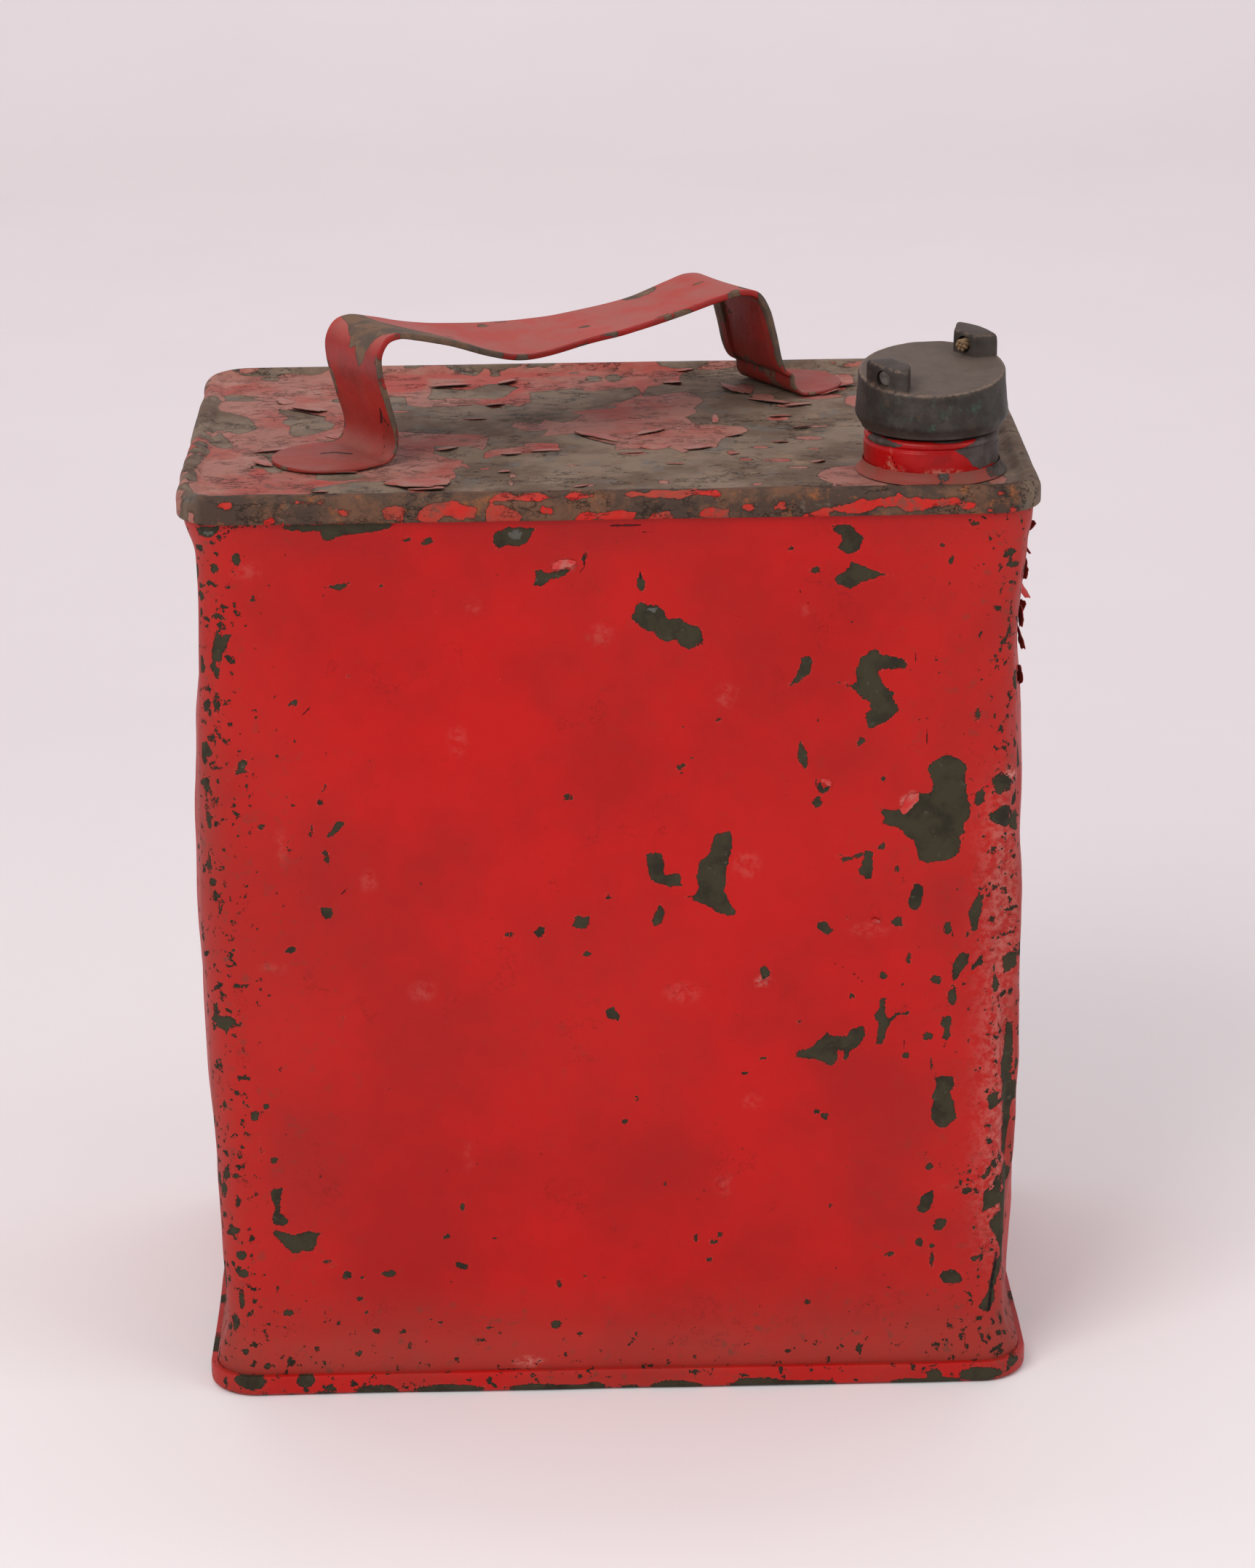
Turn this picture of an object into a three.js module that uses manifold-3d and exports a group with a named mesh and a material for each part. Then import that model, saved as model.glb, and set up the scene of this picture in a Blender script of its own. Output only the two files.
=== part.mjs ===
// A two-gallon sheet-metal petrol can of the 1920s pattern: a sleeve of two lapped steel sheets between
// two pressed end pans, a strap handle set diagonally on the top, and a threaded brass filler neck in one
// corner, closed by a cast brass screw cap with two lugs.
// Millimetres, +Z up. The origin is the centre of the footprint on the ground, the front faces -Y.
import * as THREE from "three";
import { mergeVertices } from "three/addons/utils/BufferGeometryUtils.js";
import Module from "manifold-3d";

const wasm = await Module();
wasm.setup();

// ---- Driving dimensions -------------------------------------------------------------------------------

const GAP = 0.3; // clearance between pieces that touch on the real can
const ROUND_STEPS = 32; // segments round a full turned circle

// The sleeve and its end pans
const WIDTH = 250; // over the rims, along X
const DEPTH = 166; // over the rims, along Y
const HEIGHT = 282; // ground to the crest of the top rim
const CORNER_R = 15; // plan radius of the rims' corners
const SHEET = 0.7; // thickness of the sleeve's sheets
const PLATE = 0.8; // thickness of the end pans' plates
const SKIRT = 1.9; // thickness of a rim's skirt, which is folded sheet
const TOP_SKIRT_DROP = 8; // crest of the top rim to the skirt's lower edge
const TOP_RECESS = 2; // crest of the top rim to the plate
const TOP_RIM_R = 3.6; // radius of the top rim's outer shoulder
const BASE_SKIRT_RISE = 6.6; // ground to the base skirt's upper edge
const BASE_RECESS = 3; // ground to the underside of the base plate
const BASE_RIM_R = 1.6; // radius of the base rim's outer shoulder
const RIM_LAND = 7.6; // width of a rim, from its outer face to the flat of the plate
const WAIST_FROM_END = 20; // where the sleeve is drawn in most, from either end
const WAIST_INSET = 4.8; // how far the sleeve's face is drawn in there, from the rims' outer face
const MIDDLE_INSET = 3.2; // the same at the corners at mid height
const WIDE_BULGE = 2.2; // outward bow of the front and back at their centres
const NARROW_BULGE = 1.6; // outward bow of the two ends
const BULGE_REACH = 110; // distance from either end at which the bow is full
const LAP = 8; // width of each soldered lap seam
const SEAM_FROM_CORNER = 6; // straight sheet between a lap seam's edge and the corner's bend

// The handle
const LEFT_FOOT = [-0.279 * WIDTH, -0.154 * DEPTH]; // where each leg meets the plate
const RIGHT_FOOT = [0.206 * WIDTH, 0.292 * DEPTH];
const HANDLE_RISE = 39.2; // plate to the strap's upper face at its higher, left crest
const HANDLE_WIDTH = 31;
const STRAP = 1.0; // thickness of the strap
const HEM_WIDTH = 4.5; // width of the edges folded under
const HEM = 1.0; // extra thickness where an edge is folded under
const HEM_LEAST = 0.1; // what is left of the hem's step on the feet
const FOOT_R = 17; // radius of each foot's rounded end
const LEFT_REACH = 14; // leg to the centre of the left foot's round end
const RIGHT_REACH = 8; // the same on the right

// The filler neck
const NECK_R = 19.7;
const NECK_RISE = 12.5; // plate to the neck's mouth
const NECK_LIP_R = NECK_R - 1.1; // outer radius of the mouth's flat
const NECK_COLLAR_R = NECK_R - 2.2; // where the neck passes through the plate
const SPUN_LIP = 1.5; // how far its lower edge is spun out under the plate
const SPUN_LIP_THICK = 1.0;
const FILLET_WIDTH = 2.0; // the solder round the neck
const FILLET_RISE = 3.2;
const NECK_FROM_RIM = RIM_LAND + GAP + FILLET_WIDTH + NECK_R; // outer face of a rim to the neck's axis
const NECK_X = WIDTH / 2 - NECK_FROM_RIM - 1.1;
const NECK_Y = -(DEPTH / 2 - NECK_FROM_RIM - 0.4);

// The thread between neck and cap
const PITCH = 3.175; // eight threads to the inch
const THREAD_R = NECK_R - 3.7; // the plug's thread over its crests
const THREAD_DEPTH = 1.4;
const CREST_WIDTH = 0.7;
const ROOT_WIDTH = 1.8; // width of a thread at its root
const THREAD_GAP = 0.36; // clearance all round between the two threads
const THREAD_TURNS = 2.4; // turns on the plug
const PLUG_LENGTH = 11.4; // washer's seat to the end of the plug

// The cap and its washer
const CAP_LIP_R = NECK_R + 0.6; // lower edge of the cap
const CAP_R = CAP_LIP_R + 2; // at its widest
const CAP_TOP_R = CAP_R - 0.9; // the sides draw in a little towards the top
const CAP_CHAMFER = 3.4; // height of the bevel under the cap
const CAP_HEIGHT = 16.6; // lower edge to the sloping top, on the axis
const CAP_CROWN = 4.5; // metal between the top and the plug's bore, on the axis
const PLUG_BORE_R = THREAD_R - 5;
const WASHER_THICK = 1.6;
const WASHER_R = CAP_LIP_R - 1.9;
const SEAT_DEPTH = 1.3; // the washer's seat above the cap's lower edge
const TOP_SLOPE = 9; // degrees by which the cap's top slopes
const SLOPE_ANGLE = -100; // degrees from +X of its low side, with the cap shut
const LUG_RISE = 6.6; // sloping top to the lugs' tops, on the axis
const LUG_R = CAP_TOP_R - 0.2; // outer face of the lugs
const LUG_FACE = LUG_R - 7.6; // cap's axis to the lugs' flat inner faces
const LUG_INNER_WIDTH = 8.4; // the lugs widen from their inner faces
const LUG_OUTER_WIDTH = 16.6;
const LUG_ANGLE = 43; // degrees from +X to the rear lug, with the cap shut
const LUG_HOLE_R = 2.4; // the drilling that took a sealing cord
const LUG_HOLE_RISE = 2.9; // sloping top to its axis
const STUB_R = 1.9; // what is left of the cord in the rear lug
const STUB_LENGTH = 6;
const STUB_PROUD = 1.6; // how far the stub stands out of the lug's inner face

// ---- Helpers ------------------------------------------------------------------------------------------

const degrees = THREE.MathUtils.degToRad;
const smooth = (low, high, x) => THREE.MathUtils.smoothstep(x, low, high);

// A geometry from corners and triangles, with its faces turned outwards.
function geometryFrom(points, triangles) {
  let volume = 0;
  for (const [a, b, c] of triangles) {
    volume += points[a].dot(new THREE.Vector3().crossVectors(points[b], points[c]));
  }
  const faces = volume < 0 ? triangles.map(([a, b, c]) => [a, c, b]) : triangles;
  const geometry = new THREE.BufferGeometry().setFromPoints(points);
  return geometry.setIndex(faces.flat());
}

// A closed body through rings that each hold the same number of points. The rings join up into a loop,
// or the first and the last are closed by flat fans.
function loft(rings, loop = false) {
  const count = rings[0].length;
  const points = rings.flat();
  const triangles = [];
  const last = loop ? rings.length : rings.length - 1;
  for (let r = 0; r < last; r++) {
    const next = (r + 1) % rings.length;
    for (let i = 0; i < count; i++) {
      const j = (i + 1) % count;
      triangles.push([r * count + i, r * count + j, next * count + j]);
      triangles.push([r * count + i, next * count + j, next * count + i]);
    }
  }
  if (!loop) {
    for (const [ring, turn] of [[0, true], [rings.length - 1, false]]) {
      const centre = new THREE.Vector3();
      rings[ring].forEach((p) => centre.addScaledVector(p, 1 / count));
      points.push(centre);
      for (let i = 0; i < count; i++) {
        const pair = [ring * count + i, ring * count + ((i + 1) % count)];
        triangles.push([points.length - 1, ...(turn ? pair.reverse() : pair)]);
      }
    }
  }
  return geometryFrom(points, triangles);
}

// A sheet between two grids of points, one for each of its faces, closed along its four edges.
function slab(outer, inner) {
  const [rows, columns] = [outer.length, outer[0].length];
  const points = [...outer.flat(), ...inner.flat()];
  const at = (side, row, column) => (side * rows + row) * columns + column;
  const triangles = [];
  const quad = (a, b, c, d) => triangles.push([a, b, c], [a, c, d]);
  for (let r = 0; r + 1 < rows; r++) {
    for (let c = 0; c + 1 < columns; c++) {
      quad(at(0, r, c), at(0, r, c + 1), at(0, r + 1, c + 1), at(0, r + 1, c));
      quad(at(1, r, c), at(1, r + 1, c), at(1, r + 1, c + 1), at(1, r, c + 1));
    }
    quad(at(0, r, 0), at(0, r + 1, 0), at(1, r + 1, 0), at(1, r, 0));
    quad(at(0, r + 1, columns - 1), at(0, r, columns - 1), at(1, r, columns - 1), at(1, r + 1, columns - 1));
  }
  for (let c = 0; c + 1 < columns; c++) {
    quad(at(0, 0, c + 1), at(0, 0, c), at(1, 0, c), at(1, 0, c + 1));
    quad(at(0, rows - 1, c), at(0, rows - 1, c + 1), at(1, rows - 1, c + 1), at(1, rows - 1, c));
  }
  return geometryFrom(points, triangles);
}

// A turned body: [radius, height] pairs that run once round the section and close on themselves.
function turned(profile) {
  const points = [...profile, profile[0]].map(([r, z]) => new THREE.Vector2(r, z));
  return new THREE.LatheGeometry(points, ROUND_STEPS).rotateX(Math.PI / 2);
}

// manifold-3d solids, and the way back to three.js
function solid(geometry) {
  const bare = new THREE.BufferGeometry();
  bare.setAttribute("position", geometry.getAttribute("position"));
  if (geometry.index) bare.setIndex(geometry.index);
  const merged = mergeVertices(bare, 1e-4);
  const vertProperties = new Float32Array(merged.attributes.position.array);
  const triVerts = new Uint32Array(merged.index.array);
  const make = () => new wasm.Manifold(new wasm.Mesh({ numProp: 3, vertProperties, triVerts }));
  const made = make();
  if (made.volume() > 0) return made;
  triVerts.reverse(); // its faces pointed inwards
  return make();
}

function geometryOf(made) {
  const mesh = made.getMesh();
  const geometry = new THREE.BufferGeometry();
  geometry.setAttribute("position", new THREE.BufferAttribute(mesh.vertProperties, 3));
  return geometry.setIndex(new THREE.BufferAttribute(mesh.triVerts, 1));
}

function cylinder(radius, low, high, steps = ROUND_STEPS) {
  const geometry = new THREE.CylinderGeometry(radius, radius, high - low, steps);
  return geometry.rotateX(Math.PI / 2).translate(0, 0, (low + high) / 2);
}

// ---- Materials ----------------------------------------------------------------------------------------

const paint = (color) => new THREE.MeshStandardMaterial({ color, roughness: 0.6, metalness: 0.1 });
const redPaint = paint(0xb01814);
const wornPaint = paint(0x7d5548);
const blackBrass = new THREE.MeshStandardMaterial({ color: 0x3b3632, roughness: 0.55, metalness: 0.7 });
const rubber = new THREE.MeshStandardMaterial({ color: 0x17130f, roughness: 0.9, metalness: 0 });
const cord = new THREE.MeshStandardMaterial({ color: 0x8b7355, roughness: 0.95, metalness: 0 });

const group = new THREE.Group();
function add(name, geometry, material, x = 0, y = 0, z = 0) {
  const mesh = new THREE.Mesh(geometry, material);
  mesh.name = name;
  mesh.position.set(x, y, z);
  group.add(mesh);
}

// ---- The rounded outline that the pans and the sleeve share -------------------------------------------

// Panels are numbered anticlockwise from above: 0 front, 1 right, 2 back, 3 left. A place on the outline is
// [panel, t, turn]: t runs 0 to 1 along the straight, and turn 0 to 1 round the corner that follows it.
const NORMALS = [[0, -1], [1, 0], [0, 1], [-1, 0]];

function outlinePoint([panel, t, turn], inset) {
  const radius = CORNER_R - inset;
  const straightX = WIDTH / 2 - CORNER_R;
  const straightY = DEPTH / 2 - CORNER_R;
  const wide = panel % 2 === 0;
  const [nx, ny] = NORMALS[panel];
  const along = (2 * t - 1) * (wide ? straightX : straightY);
  const out = wide ? straightY : straightX;
  const angle = Math.atan2(ny, nx) + (turn * Math.PI) / 2;
  return {
    x: nx * out - ny * along + radius * Math.cos(angle),
    y: ny * out + nx * along + radius * Math.sin(angle),
    nx: Math.cos(angle),
    ny: Math.sin(angle),
  };
}

const PAN_CORNER_STEPS = 6;
const panPlaces = [];
for (let panel = 0; panel < 4; panel++) {
  panPlaces.push([panel, 0, 0]);
  for (let i = 0; i < PAN_CORNER_STEPS; i++) panPlaces.push([panel, 1, i / PAN_CORNER_STEPS]);
}

const panRing = ([inset, z]) =>
  panPlaces.map((place) => {
    const { x, y } = outlinePoint(place, inset);
    return new THREE.Vector3(x, y, z);
  });

// ---- End pans -----------------------------------------------------------------------------------------

// Quarter-round of a rim's shoulder, from its upright face to its crest, as [inset, fall] pairs.
const shoulder = (radius, steps) =>
  Array.from({ length: steps + 1 }, (_, i) => {
    const angle = (i / steps) * (Math.PI / 2);
    return [radius * (1 - Math.cos(angle)), radius * (1 - Math.sin(angle))];
  });

const TOP_PLATE_Z = HEIGHT - TOP_RECESS;
const CHANNEL = SKIRT + GAP + SHEET; // inset of the sleeve's inner face where it stands in a rim

function topPan() {
  const under = TOP_PLATE_Z - PLATE;
  const channelTop = HEIGHT - PLATE - 0.2;
  const profile = [
    [RIM_LAND + 0.4, under],
    [RIM_LAND - 0.6, under + 0.3],
    [CHANNEL + 2.3, channelTop],
    [CHANNEL + 0.5, channelTop],
    [SKIRT + 0.3, HEIGHT - TOP_RIM_R + 1.5],
    [SKIRT, HEIGHT - TOP_RIM_R + 0.2],
    [SKIRT, HEIGHT - TOP_SKIRT_DROP],
    [0.3, HEIGHT - TOP_SKIRT_DROP],
    [0, HEIGHT - TOP_SKIRT_DROP + 0.8],
    ...shoulder(TOP_RIM_R, 4).map(([inset, fall]) => [inset, HEIGHT - fall]),
    [TOP_RIM_R + 1, HEIGHT],
    [RIM_LAND - 1, TOP_PLATE_Z + 0.4],
    [RIM_LAND, TOP_PLATE_Z],
  ];
  const pan = solid(loft(profile.map(panRing)));
  const hole = cylinder(NECK_COLLAR_R + GAP, under - 5, TOP_PLATE_Z + 5).translate(NECK_X, NECK_Y, 0);
  return geometryOf(pan.subtract(solid(hole)));
}

function basePan() {
  const upper = BASE_RECESS + PLATE;
  const channelFloor = PLATE + 0.1;
  const profile = [
    [RIM_LAND - 0.8, upper],
    [RIM_LAND - 3, channelFloor],
    [SKIRT + 0.7, channelFloor],
    [SKIRT, channelFloor + 0.6],
    [SKIRT, BASE_SKIRT_RISE],
    [0.3, BASE_SKIRT_RISE],
    [0, BASE_SKIRT_RISE - 0.8],
    ...shoulder(BASE_RIM_R, 3),
    [RIM_LAND - 2.6, 0],
    [RIM_LAND - 0.2, BASE_RECESS],
  ];
  return loft(profile.map(panRing));
}

add("top_pan", topPan(), wornPaint);
add("base_pan", basePan(), redPaint);

// ---- Sleeve: two sheets that lap on the narrow ends ----------------------------------------------------

const SLEEVE_LOW = PLATE + 0.7; // the sleeve's lower edge stands in the base rim's channel
const SLEEVE_HIGH = HEIGHT - TOP_RIM_R + 0.2; // and its upper edge in the top rim's
const RIM_STRAIGHT = 7; // height over which the sleeve stays upright inside a rim

// Inset of the sleeve's outer face from the rims' outer face.
function sleeveInset([panel, t, turn], z) {
  const end = Math.min(z, HEIGHT - z);
  const drawn = (WAIST_INSET - SKIRT - GAP) * smooth(RIM_STRAIGHT, WAIST_FROM_END, end);
  const eased = (WAIST_INSET - MIDDLE_INSET) * smooth(WAIST_FROM_END, BULGE_REACH, end);
  const across = turn > 0 ? 0 : 1 - Math.pow(2 * t - 1, 4);
  const fullBow = panel % 2 === 0 ? WIDE_BULGE : NARROW_BULGE;
  const bow = fullBow * across * smooth(WAIST_FROM_END, BULGE_REACH, end);
  return SKIRT + GAP + drawn - eased - bow;
}

const SLEEVE_ROWS = [0, 6, 13, 20, 40, 70, 105]; // heights from either end, with one row at the middle
const rowHeights = [
  ...SLEEVE_ROWS.map((d) => Math.max(d, SLEEVE_LOW)),
  HEIGHT / 2,
  ...SLEEVE_ROWS.map((d) => Math.min(HEIGHT - d, SLEEVE_HIGH)).reverse(),
];

const narrowStraight = DEPTH - 2 * CORNER_R;
const seamAt = SEAM_FROM_CORNER / narrowStraight; // a lap's outer edge, as a share of a narrow panel
const lapShare = LAP / narrowStraight;
const joggleShare = 2 / narrowStraight; // the step that tucks one sheet under the other
const gapShare = GAP / narrowStraight;

// Places along one sheet: [place, tuck], where tuck 1 is wholly under the other sheet.
function sheetPlaces(first) {
  const second = (first + 1) % 4;
  const before = (first + 3) % 4;
  const places = [];
  const under = first === 2;
  const startAt = under ? 1 - seamAt - lapShare : 1 - seamAt;
  const run = (panel, from, to, steps) => {
    for (let i = 0; i <= steps; i++) places.push([[panel, from + ((to - from) * i) / steps, 0], 0]);
  };
  const corner = (panel) => {
    for (let i = 1; i < 5; i++) places.push([[panel, 1, i / 5], 0]);
  };
  if (under) {
    places.push([[before, startAt, 0], 1], [[before, startAt + lapShare + gapShare, 0], 1]);
    places.push([[before, startAt + lapShare + joggleShare, 0], 0], [[before, 1, 0], 0]);
  } else {
    run(before, startAt, 1, 1);
  }
  corner(before);
  run(first, 0, 1, 8);
  corner(first);
  if (under) {
    run(second, 0, 1 - seamAt - joggleShare, 5);
    places.push([[second, 1 - seamAt - gapShare, 0], 1], [[second, 1 - seamAt + lapShare / 2, 0], 1]);
  } else {
    run(second, 0, 1 - seamAt, 5);
  }
  return places;
}

// A sheet of the sleeve's thickness over a grid of places and heights.
function sleeveSheet(first) {
  const places = sheetPlaces(first);
  const skin = (extra) =>
    rowHeights.map((z) =>
      places.map(([place, tuck]) => {
        const inset = sleeveInset(place, z) + tuck * (SHEET + GAP) + extra;
        const { x, y } = outlinePoint(place, inset);
        return new THREE.Vector3(x, y, z);
      }),
    );
  return slab(skin(0), skin(SHEET));
}

add("front_sheet", sleeveSheet(0), redPaint);
add("back_sheet", sleeveSheet(2), redPaint);

// ---- Handle: a strap with its edges folded under, bent out into two round feet ---------------------------

// Upper face of the strap between its legs, as shares of the span and of the rise.
const HANDLE_LINE = [
  [-0.02, 0.43], [-0.04, 0.71], [-0.039, 0.86], [-0.018, 0.97], [0.016, 1], [0.064, 0.965], [0.13, 0.9],
  [0.23, 0.8], [0.31, 0.745], [0.38, 0.735], [0.47, 0.75], [0.57, 0.77], [0.71, 0.83], [0.81, 0.905],
  [0.865, 0.935], [0.91, 0.895], [0.938, 0.755], [0.956, 0.55], [0.98, 0.25],
];
// Degrees by which the strap is twisted towards the front, at shares of the span.
const HANDLE_TWIST = [[0, 0], [0.12, 0], [0.31, 7.5], [0.53, 0], [0.71, -3], [0.9, 0], [1, 0]];

function twistAt(share) {
  const next = HANDLE_TWIST.findIndex(([s]) => s > share);
  if (next < 1) return 0;
  const [[s0, a0], [s1, a1]] = [HANDLE_TWIST[next - 1], HANDLE_TWIST[next]];
  return degrees(a0 + (a1 - a0) * smooth(s0, s1, share));
}

const footX = RIGHT_FOOT[0] - LEFT_FOOT[0];
const footY = RIGHT_FOOT[1] - LEFT_FOOT[1];
const HANDLE_SPAN = Math.hypot(footX, footY);

function handle() {
  const footTop = GAP + STRAP + HEM_LEAST;
  const leg = (side, reach) => {
    const bend = [[reach + FOOT_R, footTop], [reach, footTop], [7, footTop], [2.8, footTop + 0.5]];
    const mm = [...bend, [0.8, footTop + 2.6], [0.2, footTop + 6]].map(([s, z]) => [side * s, z]);
    return side < 0 ? mm : mm.map(([s, z]) => [HANDLE_SPAN + s, z]).reverse();
  };
  const crown = HANDLE_LINE.map(([s, z]) => [s * HANDLE_SPAN, z * HANDLE_RISE]);
  const line = [...leg(-1, LEFT_REACH), ...crown, ...leg(1, RIGHT_REACH)];
  const knots = line.map(([s, z]) => new THREE.Vector3(s, 0, z));
  const curve = new THREE.CatmullRomCurve3(knots, false, "centripetal");
  curve.arcLengthDivisions = 600;
  const length = curve.getLength();

  // stations: close together round the feet's ends, even between them
  const stations = [];
  for (let i = 1; i <= 7; i++) stations.push(FOOT_R * (1 - Math.cos((i / 7) * (Math.PI / 2))));
  const steps = 70;
  const tail = stations.map((d) => length - d).reverse();
  for (let i = 1; i < steps; i++) stations.push(FOOT_R + ((length - 2 * FOOT_R) * i) / steps);
  stations.push(...tail);

  const rings = stations.map((d) => {
    const at = curve.getPointAt(d / length);
    const along = curve.getTangentAt(d / length);
    const up = new THREE.Vector3(-along.z, 0, along.x);
    const end = Math.min(d, length - d);
    const round = end < FOOT_R ? Math.sqrt(FOOT_R ** 2 - (FOOT_R - end) ** 2) : FOOT_R;
    const half = THREE.MathUtils.lerp(round, HANDLE_WIDTH / 2, smooth(FOOT_R, FOOT_R + 12, end));
    const share = at.x / HANDLE_SPAN;
    const onCrown = smooth(4, 16, at.z);
    const twist = onCrown * twistAt(share);
    const hem = THREE.MathUtils.lerp(HEM_LEAST, HEM, onCrown);
    const inner = half - Math.min(HEM_WIDTH, 0.4 * half);
    const low = -STRAP - hem;
    const side = [
      [half - 0.3, 0], [half, -0.4], [half, low + 0.3],
      [half - 0.3, low], [inner, low], [inner - 0.2, -STRAP],
    ];
    const section = [...side, ...side.map(([w, n]) => [-w, n]).reverse()];
    const across = new THREE.Vector3(0, -Math.cos(twist), 0).addScaledVector(up, -Math.sin(twist));
    const normal = up.clone().multiplyScalar(Math.cos(twist)).add(new THREE.Vector3(0, -Math.sin(twist), 0));
    return section.map(([w, n]) => at.clone().addScaledVector(across, w).addScaledVector(normal, n));
  });
  return loft(rings).rotateZ(Math.atan2(footY, footX));
}

add("handle", handle(), wornPaint, ...LEFT_FOOT, TOP_PLATE_Z);

// ---- Thread ---------------------------------------------------------------------------------------------

// A ridge wound up a screw line from height low, running out at both ends. grow widens it all round.
const THREAD_STEPS = 24; // segments in a turn
function threadRidge(low, turns, grow, runIn, runOut) {
  const count = Math.round(turns * THREAD_STEPS);
  const root = THREAD_R - THREAD_DEPTH;
  const rings = [];
  for (let i = 0; i <= count; i++) {
    const turn = i / THREAD_STEPS;
    const full = smooth(-0.01, runIn, turn) * smooth(-0.01, runOut, turns - turn);
    const crest = root + grow * full + Math.max(THREAD_DEPTH * full, 0.05);
    const [wide, narrow] = [ROOT_WIDTH / 2 + grow, CREST_WIDTH / 2 + grow * 0.6];
    const angle = turn * 2 * Math.PI;
    const z = low + turn * PITCH;
    const point = (r, dz) => new THREE.Vector3(r * Math.cos(angle), r * Math.sin(angle), z + dz);
    rings.push([
      point(root - 0.5, -wide), point(root, -wide), point(crest, -narrow),
      point(crest, narrow), point(root, wide), point(root - 0.5, wide),
    ]);
  }
  return solid(loft(rings));
}

// Heights above the plate
const MOUTH = NECK_RISE;
const WASHER_LOW = MOUTH + GAP;
const SEAT = WASHER_LOW + WASHER_THICK + GAP;
const CAP_LOW = SEAT - SEAT_DEPTH;
const PLUG_LOW = SEAT - PLUG_LENGTH;
const THREAD_LOW = PLUG_LOW + 1.4;
const THREAD_ROOT = THREAD_R - THREAD_DEPTH;

// ---- Filler neck and its solder -------------------------------------------------------------------------

function fillerNeck() {
  const bore = THREAD_ROOT + THREAD_GAP;
  const underPlate = -PLATE - GAP;
  const low = underPlate - SPUN_LIP_THICK;
  const ring = turned([
    [bore, low], [NECK_COLLAR_R + SPUN_LIP, low], [NECK_COLLAR_R + SPUN_LIP, underPlate],
    [NECK_COLLAR_R, underPlate], [NECK_COLLAR_R, GAP], [NECK_R, GAP], [NECK_R, MOUTH - 3.4],
    [NECK_R - 0.5, MOUTH - 3], [NECK_R - 0.5, MOUTH - 2.4], [NECK_R - 0.1, MOUTH - 2],
    [NECK_R - 0.2, MOUTH - 0.8], [NECK_LIP_R, MOUTH], [bore + 0.6, MOUTH], [bore, MOUTH - 0.6],
  ]);
  const turns = (MOUTH - THREAD_LOW) / PITCH + 1.2;
  const groove = threadRidge(THREAD_LOW - PITCH / 4, turns + 0.25, THREAD_GAP, 0.15, -1);
  const turnBack = new THREE.Matrix4().makeRotationZ(-Math.PI / 2);
  return geometryOf(solid(ring).subtract(groove.transform(turnBack.elements)));
}

const FILLET_CURVE = [[0, 0], [1, 0], [0.45, 0.3], [0.15, 0.65], [0, 1]]; // shares of its width and rise
const solder = turned(
  FILLET_CURVE.map(([w, h]) => [NECK_R + GAP + w * FILLET_WIDTH, GAP + h * FILLET_RISE]),
);

add("filler_neck", fillerNeck(), blackBrass, NECK_X, NECK_Y, TOP_PLATE_Z);
add("neck_solder", solder, redPaint, NECK_X, NECK_Y, TOP_PLATE_Z);

// ---- Cap, washer and cord stub --------------------------------------------------------------------------

// The half of space under a plane that slopes as the cap's top does and meets the axis at height z.
function underSlope(z) {
  const block = new THREE.BoxGeometry(120, 120, 120).translate(0, 0, -60);
  block.rotateY(degrees(TOP_SLOPE)).rotateZ(degrees(SLOPE_ANGLE)).translate(0, 0, z);
  return solid(block);
}

// A cylinder laid along the lugs' drilling, from one distance to another from the cap's axis.
function alongLugs(radius, from, to) {
  const fall = Math.atan(Math.tan(degrees(TOP_SLOPE)) * Math.cos(degrees(SLOPE_ANGLE - LUG_ANGLE)));
  const bar = new THREE.CylinderGeometry(radius, radius, to - from, 16).rotateZ(-Math.PI / 2);
  bar.translate((from + to) / 2, 0, 0).rotateY(fall).rotateZ(degrees(LUG_ANGLE));
  return solid(bar.translate(0, 0, CAP_LOW + CAP_HEIGHT + LUG_HOLE_RISE));
}

function lug(angle) {
  const shape = new THREE.Shape();
  const reach = Math.asin(LUG_OUTER_WIDTH / 2 / LUG_R);
  shape.moveTo(LUG_FACE, -LUG_INNER_WIDTH / 2);
  shape.absarc(0, 0, LUG_R, -reach, reach, false);
  shape.lineTo(LUG_FACE, LUG_INNER_WIDTH / 2);
  const block = new THREE.ExtrudeGeometry(shape, { depth: 26, bevelEnabled: false, curveSegments: 5 });
  return solid(block.rotateZ(degrees(angle)).translate(0, 0, CAP_LOW + CAP_CHAMFER + 2));
}

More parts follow.
